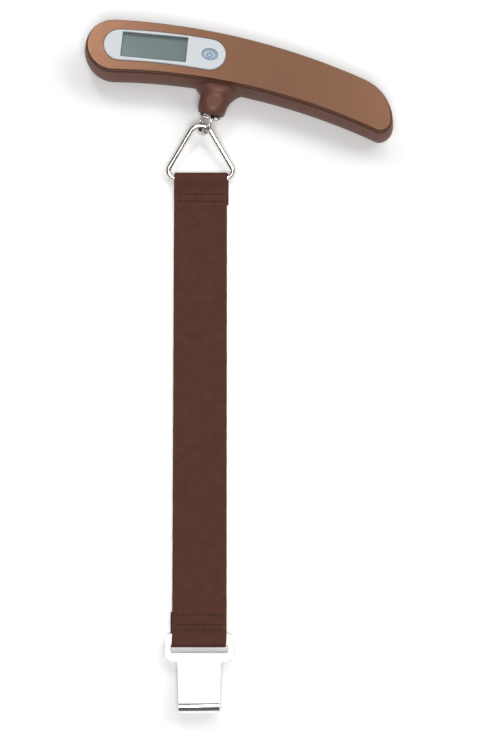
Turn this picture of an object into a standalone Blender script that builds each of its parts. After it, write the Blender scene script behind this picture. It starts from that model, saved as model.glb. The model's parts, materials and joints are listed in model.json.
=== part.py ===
"""Digital luggage scale: a curved grip with a display, a webbing strap and a flat hook.

The scale lies face up. The origin is on the flat back of the grip, below the load axis,
+Z points out of the display face and the strap runs along -Y. The grip is built in a frame
of its own, turned about Z, in which X runs along the grip and -Y is the load axis.

Along the grip, a place is given as (u, v): u is the distance along the bent spine from its
crest, and v is the distance from the spine towards the top edge.
"""

import math

import bmesh
import bpy
from mathutils import Matrix, Vector

MM = 0.001
GAP = 0.3 * MM  # between pieces that touch or fit into each other
OVERRUN = 1.0 * MM  # a cutting shape beyond the face that it goes through
EMBED = 0.5 * MM  # a joined shape into the piece that carries it
SKIM = 0.05 * MM  # a joined shape off the plane of a face that it would lie in
SMALL_CORNER = 0.4 * MM

# ---- Grip outline -------------------------------------------------------------------------
GRIP_TURN = math.radians(-13.0)  # the grip against the straight line of the strap
SPINE_RADIUS = 303.9 * MM
SPINE_CREST = (5.9 * MM, 0.55 * MM)
GRIP_LEFT = 70.4 * MM  # from the crest of the spine to the left end
GRIP_RIGHT = 80.9 * MM  # and to the right end
GRIP_HALF_WIDTH = 11.6 * MM  # of the face, at the crest
GRIP_TAPER = 0.0193  # half width lost for each length towards the right
END_SHOULDER_RADIUS = 22.0 * MM
END_CORNER_RADIUS = 5.0 * MM
LEAST_CORNER_RADIUS = 1.2 * MM

# ---- Grip depth ---------------------------------------------------------------------------
FACE_HEIGHT = 23.4 * MM
PANEL_THICKNESS = 2.0 * MM
PANEL_EDGE_BEVEL = 0.5 * MM
BULGE_HEIGHT = 14.0 * MM  # where the casing is widest
BULGE = 1.3 * MM  # how far it stands beyond the face there
BACK_ROUNDING = 7.0 * MM  # from the bulge in to the flat of the back
RIM_STEP = 0.5 * MM  # the casing beyond the face at its rim
CASING_WALL = 1.3 * MM
CASING_FLOOR = 1.8 * MM
RIM_HEIGHT = FACE_HEIGHT - PANEL_THICKNESS - GAP

# ---- Strap --------------------------------------------------------------------------------
STRAP_CENTRE = -10.2 * MM
STRAP_WIDTH = 25.0 * MM
WEBBING = 1.1 * MM  # thickness of one layer
LOOP_CLEARANCE = 0.3 * MM
TOP_HEM = 15.3 * MM  # doubled length below the top fold
BOTTOM_HEM = 17.4 * MM
HEM_SLOPE = 3.0 * MM
HEM_TAIL = 2.0 * MM  # single webbing above the first hinge
HEM_EDGE = 1.0 * MM  # and below the last one
TOP_LOOP_NECK = 2.2  # from the bar to where the layers meet, in outer radii
BOTTOM_LOOP_NECK = 3.52 * MM  # from the hook's bar to the hinge of its loop
STRAP_SEGMENTS = 5
HINGE_GAP = 0.8 * MM
HEM_HINGE_GAP = 1.2 * MM
STRAP_END_Y = -280.3 * MM  # the bottom fold

# ---- Load ring and triangle ring ----------------------------------------------------------
LOAD_RING_DIAMETER = 12.0 * MM
LOAD_RING_RADIAL = 1.6 * MM
LOAD_RING_AXIAL = 2.4 * MM
LOAD_RING_PLACE = (-1.4 * MM, 9.2 * MM)  # X and Z of its centre
LOAD_RING_SLACK = 0.5 * MM  # between it and the far side of the bail's bar
LOAD_RING_EDGE = 0.45 * MM
LOAD_RING_LEAN = math.radians(30.0)
TRIANGLE_WIRE = 2.5 * MM
TRIANGLE_WIDTH = STRAP_WIDTH + 8.0 * MM
TRIANGLE_CORNER_RADIUS = 3.5 * MM
TRIANGLE_APEX_RADIUS = 5.5 * MM
TRIANGLE_APEX = (-29.0 * MM, 9.5 * MM)  # Y and Z of the wire's centre line
TRIANGLE_BAR_Y = -52.8 * MM

# ---- Neck and load path -------------------------------------------------------------------
NECK_TIP = 27.6 * MM
NECK_DOME = 6.6 * MM  # length of the rounded tip
NECK_CENTRE_HEIGHT = 11.0 * MM
NECK_ROOT = -8.0 * MM  # Y of its start inside the casing
NECK_LEFT_FLARE = (5.0 * MM, -18.0 * MM)  # radius, and Y of its lower end
NECK_RIGHT_FLARE = (12.0 * MM, -21.5 * MM)
NECK_TOP_FLARE = (2.5 * MM, -17.5 * MM)
NECK_SQUARENESS = 2.5  # exponent of its cross-section
MOUTH_HALF_WIDTH = LOAD_RING_DIAMETER / 2
MOUTH_HALF_HEIGHT = LOAD_RING_DIAMETER / 2 - 0.4 * MM
NECK_HALF_WIDTH = MOUTH_HALF_WIDTH + 0.7 * MM
NECK_HALF_HEIGHT = MOUTH_HALF_HEIGHT + 1.6 * MM
MOUTH_HEIGHT = 9.8 * MM
MOUTH_ROOT = -9.0 * MM
LOAD_HEIGHT = 9.5 * MM

LOAD_CELL_LEFT = 41.0 * MM
LOAD_CELL_RIGHT = 6.0 * MM
LOAD_CELL_DEPTH = 8.0 * MM
LOAD_CELL_WIDTH = 8.0 * MM
LOAD_CELL_BORE = 4.6 * MM
LOAD_CELL_SLOT = 1.6 * MM
FLEXURES = (-24.0 * MM, -11.0 * MM)
LOAD_CELL_SCREWS = (37.5 * MM, 30.5 * MM)
LOAD_CELL_SCREW_DIAMETER = 3.0 * MM
LOAD_CELL_SCREW_HEAD = (5.4 * MM, 0.8 * MM)  # diameter, height
LOAD_CELL_SCREW_REACH = 2.6 * MM  # below the load cell
LOAD_CELL_PAD = 6.0 * MM
GAUGE_MARGIN = 3.0 * MM  # beyond the bores' centres
GAUGE_WIDTH = 4.4 * MM
GAUGE_THICKNESS = 0.6 * MM
GAUGE_CORNER = 1.0 * MM
BAIL_WIRE = 1.6 * MM
BAIL_HALF_WIDTH = 4.4 * MM
BAIL_BAR = 25.8 * MM
BAIL_TOP = 19.6 * MM
BAIL_CORNER = 1.5 * MM
BAIL_STEM = 3.0 * MM
BAIL_STEM_END = 7.4 * MM
BAIL_NUT_WIDTH = 5.5 * MM
BAIL_NUT_THICKNESS = 2.2 * MM

# ---- Hook clip ----------------------------------------------------------------------------
HOOK_PLATE = 1.5 * MM
HOOK_CORNER = 3.0 * MM
HOOK_INNER_CORNER = 1.0 * MM
HOOK_BAR = 5.5 * MM  # from the top edge to the slot
HOOK_SLOT = 4.3 * MM
HOOK_SLOT_WIDTH = STRAP_WIDTH + 1.4 * MM
HOOK_WIDTH = HOOK_SLOT_WIDTH + 5.1 * MM
HOOK_SHOULDER = 14.0 * MM  # from the top edge to the shoulders
HOOK_TONGUE = 20.0 * MM
HOOK_TONGUE_END = 18.6 * MM
HOOK_LENGTH = 38.2 * MM  # from the top edge to the outside of the bend
HOOK_BEND = 3.15 * MM  # radius of the plate's mid surface
HOOK_RETURN = 10.0 * MM
HOOK_LEAN = math.radians(12.3)

# ---- Display, button and board ------------------------------------------------------------
BEZEL_CENTRE = -33.4 * MM
BEZEL_LENGTH = 58.2 * MM
BEZEL_WIDTH = 15.3 * MM
BEZEL_PROUD = 0.6 * MM
BEZEL_SEAT = 0.9 * MM  # depth of its pocket in the panel
BEZEL_LEDGE = 0.5 * MM
BEZEL_EDGE = 0.35 * MM
WINDOW_CENTRE = -38.4 * MM
WINDOW_LENGTH = 31.2 * MM
WINDOW_WIDTH = 12.6 * MM
WINDOW_CORNER = 0.5 * MM
LENS_MARGIN = 0.2 * MM
LENS_THICKNESS = 1.1 * MM
LCD_MARGIN = 1.6 * MM
LCD_THICKNESS = 1.8 * MM
REFLECTOR_THICKNESS = 0.3 * MM
ZEBRA_WIDTH = 2.0 * MM
BUTTON_CENTRE = -11.9 * MM
BUTTON_LENGTH = 7.4 * MM
BUTTON_WIDTH = 5.4 * MM
BUTTON_SINK = 0.3 * MM  # its rim below the bezel's face
BUTTON_RIM = ((1.0, 0.2 * MM), (0.94, 0.0), (0.86, 0.05 * MM))  # share of the oval, depth
BUTTON_DISH = 0.5 * MM
BUTTON_DISH_STEPS = (0.7, 0.5, 0.3, 0.1)
BUTTON_FLANGE = 0.6 * MM
BUTTON_TRAVEL = 0.6 * MM
BOARD_TOP = 16.2 * MM
BOARD_THICKNESS = 1.2 * MM
BOARD_LEFT = -57.0 * MM
BOARD_RIGHT = 7.0 * MM
BOARD_WIDTH = 17.0 * MM
SWITCH_SIZE = 6.0 * MM
SWITCH_HEIGHT = 3.1 * MM
PLUNGER_DIAMETER = 3.3 * MM
PLUNGER_SEAT = 1.2 * MM  # its length inside the switch
CHIP_DIAMETER = 7.0 * MM
CHIP_HEIGHT = 1.1 * MM
CHIP_CENTRE = -2.5 * MM

# ---- Battery compartment ------------------------------------------------------------------
COVER_FRONT = 41.0 * MM
COVER_FRONT_SLANT = 3.5 * MM
COVER_HEIGHT = 9.0 * MM
COVER_LIP = (4.0 * MM, 8.0 * MM, 1.0 * MM)  # length, width, thickness
CELL_DIAMETER = 20.0 * MM
CELL_THICKNESS = 3.2 * MM
CELL_EDGE = 0.4 * MM
CELL_STEP = (1.2 * MM, 0.5 * MM)  # from the can to the cap: inwards, and in height
CELL_CENTRE = 53.0 * MM
CELL_BASE = 9.8 * MM
HOLDER_THICKNESS = 1.5 * MM
HOLDER_LENGTH = 25.0 * MM
HOLDER_WIDTH = 17.0 * MM
HOLDER_CORNER = 2.0 * MM
HOLDER_POST = 1.6 * MM  # diameter of the four posts that stand round the cell
HOLDER_POST_TURN = math.radians(40.0)  # from the grip's length
CONTACT_SHEET = 0.3 * MM
CONTACT_WIDTH = 4.0 * MM
CONTACT_LENGTH = 15.0 * MM
CONTACT_CORNER = 1.0 * MM

# ---- Case screws --------------------------------------------------------------------------
CASE_SCREWS = (-63.5 * MM, 13.0 * MM, 29.0 * MM)
SCREW_DIAMETER = 2.2 * MM
SCREW_HEAD = (4.2 * MM, 1.4 * MM)  # diameter, height
SCREW_LENGTH = 13.0 * MM
SCREW_SINK = 0.9 * MM  # head face above the back's flat
BOSS_DIAMETER = 6.2 * MM
BOSS_HEIGHT = 10.0 * MM
POST_DIAMETER = 5.4 * MM
DRIVE_SLOT = (0.62, 0.16)  # length and width of the cross's arms, in head diameters
DRIVE_DEPTH = 0.6 * MM

# ---- Wires --------------------------------------------------------------------------------
WIRE_DIAMETER = 0.9 * MM
GAUGE_LEAD_DIAMETER = 1.6 * MM
GAUGE_LEAD_ROUTE = (  # X, out from the load cell's side, up from its middle
    (-28.5 * MM, 1.6 * MM, 0.0),
    (-34.0 * MM, 2.2 * MM, 0.3 * MM),
    (-40.0 * MM, 2.6 * MM, 1.6 * MM),
)
GAUGE_LEAD_END = (-44.5 * MM, -4.5 * MM)
BATTERY_WIRE_ROUTE = (  # u, v, up from the battery holder
    (46.0 * MM, 3.0 * MM, 0.0),
    (38.0 * MM, 5.0 * MM, 0.4 * MM),
    (26.0 * MM, 5.5 * MM, 1.0 * MM),
    (14.0 * MM, 5.0 * MM, 1.2 * MM),
)
BATTERY_WIRE_END = (5.0 * MM, 4.0 * MM)

SMOOTH_ANGLE = math.radians(35.0)


# ---- Materials ----------------------------------------------------------------------------
def make_material(name, colour, roughness, metallic=0.0):
    material = bpy.data.materials.new(name)
    material.use_nodes = True
    shader = material.node_tree.nodes["Principled BSDF"]
    shader.inputs["Base Color"].default_value = (*colour, 1.0)
    shader.inputs["Roughness"].default_value = roughness
    shader.inputs["Metallic"].default_value = metallic
    material.diffuse_color = (*colour, 1.0)
    return material


# ---- Outlines -----------------------------------------------------------------------------
def arc(centre, radius, start, end, steps):
    """Points on an arc, both ends included, with the angles in degrees."""
    angles = [math.radians(start + (end - start) * i / steps) for i in range(steps + 1)]
    return [(centre[0] + radius * math.cos(a), centre[1] + radius * math.sin(a)) for a in angles]


def divide(start, end, steps):
    """The points between two ends of a straight run, without the ends."""
    shares = [i / steps for i in range(1, steps)]
    return [tuple(s + (e - s) * share for s, e in zip(start, end)) for share in shares]


def circle(radius, steps=24, centre=(0.0, 0.0)):
    return arc(centre, radius, 0.0, 360.0, steps)[:-1]


def rounded_box(length, width, radius, steps=4):
    """A rectangle about the origin with round corners, counter-clockwise."""
    x, y = length / 2 - radius, width / 2 - radius
    corners = ((x, y, 0.0), (-x, y, 90.0), (-x, -y, 180.0), (x, -y, 270.0))
    return [
        point
        for cx, cy, start in corners
        for point in arc((cx, cy), radius, start, start + 90.0, steps)
    ]


def oval(length, width, steps=28):
    turns = [2 * math.pi * i / steps for i in range(steps)]
    return [(length / 2 * math.cos(a), width / 2 * math.sin(a)) for a in turns]


def superellipse(half_width, half_height, power, steps=28):
    points = []
    for i in range(steps):
        c, s = math.cos(2 * math.pi * i / steps), math.sin(2 * math.pi * i / steps)
        points.append((
            half_width * math.copysign(abs(c) ** (2 / power), c),
            half_height * math.copysign(abs(s) ** (2 / power), s),
        ))
    return points


def dog_bone(length, radius, half_slot):
    """Two round bores, a length apart along X, joined by a straight slot."""
    meeting = math.degrees(math.asin(half_slot / radius))
    left = arc((-length / 2, 0.0), radius, meeting, 360.0 - meeting, 16)
    right = arc((length / 2, 0.0), radius, 180.0 + meeting, 540.0 - meeting, 16)
    return [*left, *right]


def bend(u, v):
    """The point at (u, v) in the grip's frame."""
    angle = u / SPINE_RADIUS
    reach = SPINE_RADIUS + v
    return (
        SPINE_CREST[0] + reach * math.sin(angle),
        SPINE_CREST[1] - SPINE_RADIUS + reach * math.cos(angle),
    )


def tangent(u):
    """The turn about Z of a straight piece that lies along the spine at u."""
    return -u / SPINE_RADIUS


def half_width(u):
    return GRIP_HALF_WIDTH - GRIP_TAPER * u


def grip_outline(offset):
    """The grip's outline in (u, v), moved outwards by offset: two long sides, a round left
    end, and a right end whose broad shoulder runs into a small lower corner."""
    left_radius = (GRIP_LEFT * GRIP_TAPER + GRIP_HALF_WIDTH) / (1 + GRIP_TAPER)
    left_centre = (left_radius - GRIP_LEFT, 0.0)
    end_half = half_width(GRIP_RIGHT - END_CORNER_RADIUS)
    shoulder_half = half_width(GRIP_RIGHT - END_SHOULDER_RADIUS)
    corner_radius = max(END_CORNER_RADIUS + offset, LEAST_CORNER_RADIUS)
    corner = (GRIP_RIGHT + offset - corner_radius, corner_radius - end_half - offset)
    shoulder_radius = END_SHOULDER_RADIUS + offset
    drop = corner[1] - (shoulder_half - END_SHOULDER_RADIUS)
    reach = math.sqrt((shoulder_radius - corner_radius) ** 2 - drop**2)
    shoulder = (corner[0] - reach, shoulder_half - END_SHOULDER_RADIUS)
    meeting = math.degrees(math.atan2(drop, reach))
    left = arc(left_centre, left_radius + offset, 90.0, 270.0, 16)
    lower = arc(corner, corner_radius, -90.0, meeting, 8)
    upper = arc(shoulder, shoulder_radius, meeting, 90.0, 8)[1:]
    return [
        *left,
        *divide(left[-1], lower[0], 20),
        *lower,
        *upper,
        *divide(upper[-1], left[0], 18),
    ]


def bezel_outline(offset):
    radius = BEZEL_WIDTH / 2
    reach = BEZEL_LENGTH / 2 - radius
    right = arc((BEZEL_CENTRE + reach, 0.0), radius + offset, -90.0, 90.0, 14)
    left = arc((BEZEL_CENTRE - reach, 0.0), radius + offset, 90.0, 270.0, 14)
    return [
        *right,
        *divide(right[-1], left[0], 8),
        *left,
        *divide(left[-1], right[0], 8),
    ]


# ---- Mesh building ------------------------------------------------------------------------
def loft(sections):
    """A closed skin through loops of equal count, with a face across each end."""
    mesh = bmesh.new()
    loops = [[mesh.verts.new(point) for point in section] for section in sections]
    for lower, upper in zip(loops, loops[1:]):
        for i, corner in enumerate(lower):
            j = (i + 1) % len(lower)
            mesh.faces.new((corner, lower[j], upper[j], upper[i]))
    mesh.faces.new(loops[0][::-1])
    mesh.faces.new(loops[-1])
    bmesh.ops.recalc_face_normals(mesh, faces=mesh.faces)
    return mesh


def layered(outlines):
    """Outlines stacked in Z, as (outline, height) pairs."""
    return loft([[(x, y, z) for x, y in outline] for outline, z in outlines])


def extruded(outline, low, high):
    return layered([(outline, low), (outline, high)])


def bent(outline, low, high):
    return extruded([bend(u, v) for u, v in outline], low, high)


def crosswise(outline, low, high):
    """An outline in (y, z) made solid between two X values."""
    return loft([[(x, y, z) for y, z in outline] for x in (low, high)])


def swept(path, section, closed=False):
    """A section carried along a path of points. The section's second axis stays as close to
    Z as the path lets it."""
    count = len(path)
    rings = []
    for i, point in enumerate(path):
        before = path[(i - 1) % count] if closed or i > 0 else point
        after = path[(i + 1) % count] if closed or i < count - 1 else point
        along = (Vector(after) - Vector(before)).normalized()
        across = along.cross(Vector((0.0, 0.0, 1.0)))
        if across.length < 0.01:
            across = along.cross(Vector((0.0, 1.0, 0.0)))
        across.normalize()
        up = across.cross(along)
        rings.append([Vector(point) + across * a + up * b for a, b in section])
    if not closed:
        return loft(rings)
    mesh = bmesh.new()
    loops = [[mesh.verts.new(corner) for corner in ring] for ring in rings]
    for lower, upper in zip(loops, loops[1:] + loops[:1]):
        for i, corner in enumerate(lower):
            j = (i + 1) % len(lower)
            mesh.faces.new((corner, lower[j], upper[j], upper[i]))
    bmesh.ops.recalc_face_normals(mesh, faces=mesh.faces)
    return mesh


def turned(profile, steps=24):
    """A profile of (radius, height) pairs from the axis to the axis, turned about Z."""
    mesh = bmesh.new()
    points = [mesh.verts.new((radius, 0.0, z)) for radius, z in profile]
    edges = [mesh.edges.new(pair) for pair in zip(points, points[1:])]
    bmesh.ops.spin(
        mesh,
        geom=points + edges,
        cent=(0.0, 0.0, 0.0),
        axis=(0.0, 0.0, 1.0),
        angle=2 * math.pi,
        steps=steps,
        use_merge=True,
    )
    bmesh.ops.remove_doubles(mesh, verts=mesh.verts, dist=0.001 * MM)
    bmesh.ops.recalc_face_normals(mesh, faces=mesh.faces)
    return mesh


def make_object(name, mesh, material, parent=None, place=(0.0, 0.0, 0.0), turn=0.0):
    data = bpy.data.meshes.new(name)
    mesh.to_mesh(data)
    mesh.free()
    data.shade_smooth()
    data.set_sharp_from_angle(angle=SMOOTH_ANGLE)
    data.materials.append(material)
    made = bpy.data.objects.new(name, data)
    bpy.context.scene.collection.objects.link(made)
    made.parent = parent
    made.location = place
    made.rotation_euler = (0.0, 0.0, turn)
    return made


def make_tool(name, mesh, parent=None, place=(0.0, 0.0, 0.0), turn=0.0):
    """A shape that only cuts or adds to a piece, and isn't one itself."""
    made = make_object(name, mesh, MATERIALS["tool"], parent, place, turn)
    made.hide_render = True
    made.display_type = "WIRE"
    return made


def combine(piece, tool, operation):
    modifier = piece.modifiers.new(f"{operation.lower()} {tool.name}", "BOOLEAN")
    modifier.operation = operation
    modifier.solver = "EXACT"
    modifier.object = tool


def cut(piece, *tools):
    for tool in tools:
        combine(piece, tool, "DIFFERENCE")


def add(piece, *tools):
    for tool in tools:
        combine(piece, tool, "UNION")


def make_empty(name, place=(0.0, 0.0, 0.0), turn=0.0, parent=None):
    empty = bpy.data.objects.new(name, None)
    bpy.context.scene.collection.objects.link(empty)
    empty.parent = parent
    empty.location = place
    empty.rotation_euler = (0.0, 0.0, turn)
    return empty


# ---- Casing -------------------------------------------------------------------------------
def casing_offset(height):
    """How far the casing stands beyond the face's outline at a height."""
    if height >= BULGE_HEIGHT:
        share = (height - BULGE_HEIGHT) / (RIM_HEIGHT - BULGE_HEIGHT)
        return BULGE - (BULGE - RIM_STEP) * share**2
    share = (BULGE_HEIGHT - height) / BULGE_HEIGHT
    return BULGE - BACK_ROUNDING * (1 - math.sqrt(1 - share**2))


def back_levels(floor):
    """Heights from the floor to the bulge, closer together where the back curves most."""
    turns = [math.radians(90.0 * i / 7) for i in range(8)]
    return [floor + (BULGE_HEIGHT - floor) * (1 - math.cos(turn)) for turn in turns]


def casing_outer():
    heights = [*back_levels(0.0), (BULGE_HEIGHT + RIM_HEIGHT) / 2, RIM_HEIGHT]
    outlines = [([bend(*p) for p in grip_outline(casing_offset(z))], z) for z in heights]
    return layered(outlines)


def casing_inner():
    outlines = []
    for z in [*back_levels(CASING_FLOOR), (BULGE_HEIGHT + RIM_HEIGHT) / 2]:
        share = max(1 - z / BULGE_HEIGHT, 0.0)
        inset = CASING_WALL + (CASING_FLOOR - CASING_WALL) * share
        offset = casing_offset(z) - inset
        outlines.append(([bend(*p) for p in grip_outline(offset)], z))
    rim = [bend(*p) for p in grip_outline(RIM_STEP - CASING_WALL)]
    return layered([*outlines, (rim, RIM_HEIGHT), (rim, RIM_HEIGHT + PANEL_THICKNESS)])


def neck_flare(y, fillet):
    """Extra half width at y, beside a fillet given as its radius and its end's Y."""
    radius, end = fillet
    reach = min(max(y - end, 0.0), 0.97 * radius)
    return radius - math.sqrt(radius**2 - reach**2)


def neck():
    """The neck below the grip: flared at its root and domed at its tip."""
    dome_start = NECK_DOME - NECK_TIP
    straight = [NECK_ROOT + (dome_start - NECK_ROOT) * i / 9 for i in range(10)]
    domed = [dome_start - NECK_DOME * math.sin(math.radians(90.0 * i / 7)) for i in range(1, 7)]
    sections = []
    for y in [*straight, *domed]:
        share = max((dome_start - y) / NECK_DOME, 0.0)
        scale = math.sqrt(max(1 - share**2, 0.0))
        left = NECK_HALF_WIDTH * scale + neck_flare(y, NECK_LEFT_FLARE)
        right = NECK_HALF_WIDTH * scale + neck_flare(y, NECK_RIGHT_FLARE)
        high = NECK_HALF_HEIGHT * scale + neck_flare(y, NECK_TOP_FLARE)
        section = []
        for x, z in superellipse(1.0, 1.0, NECK_SQUARENESS):
            section.append((x * (left if x < 0 else right), y, NECK_CENTRE_HEIGHT + z * high))
        sections.append(section)
    return loft(sections)


def neck_mouth():
    outline = superellipse(MOUTH_HALF_WIDTH, MOUTH_HALF_HEIGHT, NECK_SQUARENESS)
    ends = (-NECK_TIP - OVERRUN, MOUTH_ROOT)
    return loft([[(x, y, MOUTH_HEIGHT + z) for x, z in outline] for y in ends])


def cover_region(clearance):
    """The right-hand end of the back, as a block with a slanted front."""
    slant = COVER_FRONT_SLANT / COVER_HEIGHT
    low, high = -OVERRUN, COVER_HEIGHT + clearance
    front = COVER_FRONT - clearance
    side = GRIP_HALF_WIDTH + 3 * BULGE
    end = GRIP_RIGHT + 3 * BULGE
    sections = []
    for z in (low, high):
        start = front + slant * z
        outline = [
            (start, -side),
            *divide((start, -side), (end, -side), 5),
            (end, -side),
            (end, side),
            *divide((end, side), (start, side), 5),
            (start, side),
        ]
        sections.append([(*bend(u, v), z) for u, v in outline])
    return loft(sections)


def make_casing(grip):
    casing = make_object("rear_casing", casing_outer(), MATERIALS["dark_plastic"], grip)
    add(casing, make_tool("neck_shape", neck(), grip))
    hollow = make_tool("casing_hollow", casing_inner(), grip)
    cut(casing, hollow)
    for i, u in enumerate(CASE_SCREWS, 1):
        place = (*bend(u, 0.0), 0.0)
        boss = extruded(circle(BOSS_DIAMETER / 2), CASING_FLOOR - EMBED, BOSS_HEIGHT)
        add(casing, make_tool(f"boss_{i}", boss, grip, place))
    for i, u in enumerate(LOAD_CELL_SCREWS, 1):
        top = LOAD_HEIGHT - LOAD_CELL_DEPTH / 2 - GAP
        radius = LOAD_CELL_SCREW_DIAMETER / 2 + GAP
        pad = extruded(circle(LOAD_CELL_PAD / 2), CASING_FLOOR - EMBED, top)
        add(casing, make_tool(f"load_cell_pad_{i}", pad, grip, (-u, 0.0, 0.0)))
        hole = extruded(circle(radius, 16), CASING_FLOOR, top + OVERRUN)
        cut(casing, make_tool(f"load_cell_pad_hole_{i}", hole, grip, (-u, 0.0, 0.0)))
    cut(casing, make_tool("neck_mouth", neck_mouth(), grip))
    for i, u in enumerate(CASE_SCREWS, 1):
        head = SCREW_SINK + SCREW_HEAD[1] + GAP
        radii = (SCREW_HEAD[0] / 2 + GAP, SCREW_DIAMETER / 2 + GAP)
        recess = turned([
            (0.0, -OVERRUN),
            (radii[0], -OVERRUN),
            (radii[0], head),
            (radii[1], head),
            (radii[1], BOSS_HEIGHT + OVERRUN),
            (0.0, BOSS_HEIGHT + OVERRUN),
        ])
        cut(casing, make_tool(f"screw_hole_{i}", recess, grip, (*bend(u, 0.0), 0.0)))
    cut(casing, make_tool("cover_space", cover_region(GAP), grip))
    return hollow


def make_battery_cover(grip, hollow):
    slide = make_empty("cover_slide", (*bend(CELL_CENTRE, 0.0), 0.0), tangent(CELL_CENTRE), grip)
    cover = make_object("battery_cover", casing_outer(), MATERIALS["dark_plastic"], grip)
    combine(cover, make_tool("cover_block", cover_region(0.0), grip), "INTERSECT")
    cut(cover, hollow)
    length, width, thickness = COVER_LIP
    low, root = CASING_FLOOR + GAP, CASING_FLOOR - EMBED
    step = COVER_FRONT_SLANT / COVER_HEIGHT * low + EMBED
    side = [
        (-length, low),
        (step, low),
        (step, root),
        (length, root),
        (length, low + thickness),
        (-length, low + thickness),
    ]
    lip = loft([[(u, v, z) for u, z in side] for v in (-width / 2, width / 2)])
    place = (*bend(COVER_FRONT, 0.0), 0.0)
    add(cover, make_tool("cover_lip", lip, grip, place, tangent(COVER_FRONT)))
    bpy.context.view_layer.update()
    keep = cover.matrix_world.copy()
    cover.parent = slide
    cover.matrix_world = keep


def make_front_panel(grip):
    low, high = RIM_HEIGHT + GAP, FACE_HEIGHT
    levels = ((0.0, low), (0.0, high - PANEL_EDGE_BEVEL), (-PANEL_EDGE_BEVEL, high))
    skin = layered([([bend(*p) for p in grip_outline(inset)], z) for inset, z in levels])
    panel = make_object("front_panel", skin, MATERIALS["copper"], grip)
    pilot = SCREW_SINK + SCREW_HEAD[1] + SCREW_LENGTH + GAP
    for i, u in enumerate(CASE_SCREWS, 1):
        place = (*bend(u, 0.0), 0.0)
        post = extruded(circle(POST_DIAMETER / 2), BOSS_HEIGHT + GAP, low + EMBED)
        add(panel, make_tool(f"post_{i}", post, grip, place))
        hole = extruded(circle(SCREW_DIAMETER / 2 + GAP, 16), BOSS_HEIGHT, pilot)
        cut(panel, make_tool(f"pilot_hole_{i}", hole, grip, place))
    seat = high - BEZEL_SEAT
    pocket = bent(bezel_outline(GAP), seat, high + OVERRUN)
    opening = bent(bezel_outline(-BEZEL_LEDGE), low - OVERRUN, high)
    cut(panel, make_tool("bezel_pocket", pocket, grip), make_tool("bezel_opening", opening, grip))


# ---- Display and button -------------------------------------------------------------------
def make_display(grip):
    low = FACE_HEIGHT - BEZEL_SEAT + GAP
    high = FACE_HEIGHT + BEZEL_PROUD
    levels = ((0.0, low), (0.0, high - BEZEL_EDGE), (-BEZEL_EDGE, high))
    skin = layered([([bend(*p) for p in bezel_outline(inset)], z) for inset, z in levels])
    bezel = make_object("display_bezel", skin, MATERIALS["bezel_grey"], grip)
    middle = (*bend(WINDOW_CENTRE, 0.0), 0.0)
    turn = tangent(WINDOW_CENTRE)
    low_end, high_end = low - OVERRUN, high + OVERRUN
    window = extruded(rounded_box(WINDOW_LENGTH, WINDOW_WIDTH, WINDOW_CORNER), low_end, high_end)
    cut(bezel, make_tool("window_hole", window, grip, middle, turn))
    hole = extruded(oval(BUTTON_LENGTH + 2 * GAP, BUTTON_WIDTH + 2 * GAP), low_end, high_end)
    button_place = (*bend(BUTTON_CENTRE, 0.0), 0.0)
    cut(bezel, make_tool("button_hole", hole, grip, button_place, tangent(BUTTON_CENTRE)))

    def stack(name, length, width, top, thickness, material):
        plate = extruded(rounded_box(length, width, WINDOW_CORNER), top - thickness, top)
        make_object(name, plate, material, grip, middle, turn)
        return top - thickness - GAP

    glass_length = WINDOW_LENGTH + 2 * LCD_MARGIN
    glass_width = WINDOW_WIDTH + 2 * LENS_MARGIN
    lens_length = WINDOW_LENGTH + 2 * LENS_MARGIN
    top = low - GAP
    top = stack("window_lens", lens_length, glass_width, top, LENS_THICKNESS, MATERIALS["clear"])
    top = stack("lcd_glass", glass_length, glass_width, top, LCD_THICKNESS, MATERIALS["lcd"])
    reflector = (glass_length, glass_width - 2 * ZEBRA_WIDTH)
    stack("lcd_reflector", *reflector, top, REFLECTOR_THICKNESS, MATERIALS["silver"])
    zebra_height = top - BOARD_TOP - GAP
    zebra = rounded_box(WINDOW_LENGTH, ZEBRA_WIDTH - GAP, SMALL_CORNER, 2)
    strip = extruded(zebra, 0.0, zebra_height)
    edge = (glass_width - ZEBRA_WIDTH) / 2
    offset = Matrix.Rotation(turn, 3, "Z") @ Vector((0.0, edge, 0.0))
    place = Vector(middle) + offset + Vector((0.0, 0.0, BOARD_TOP + GAP))
    make_object("zebra_connector", strip, MATERIALS["rubber"], grip, place, turn)


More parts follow.
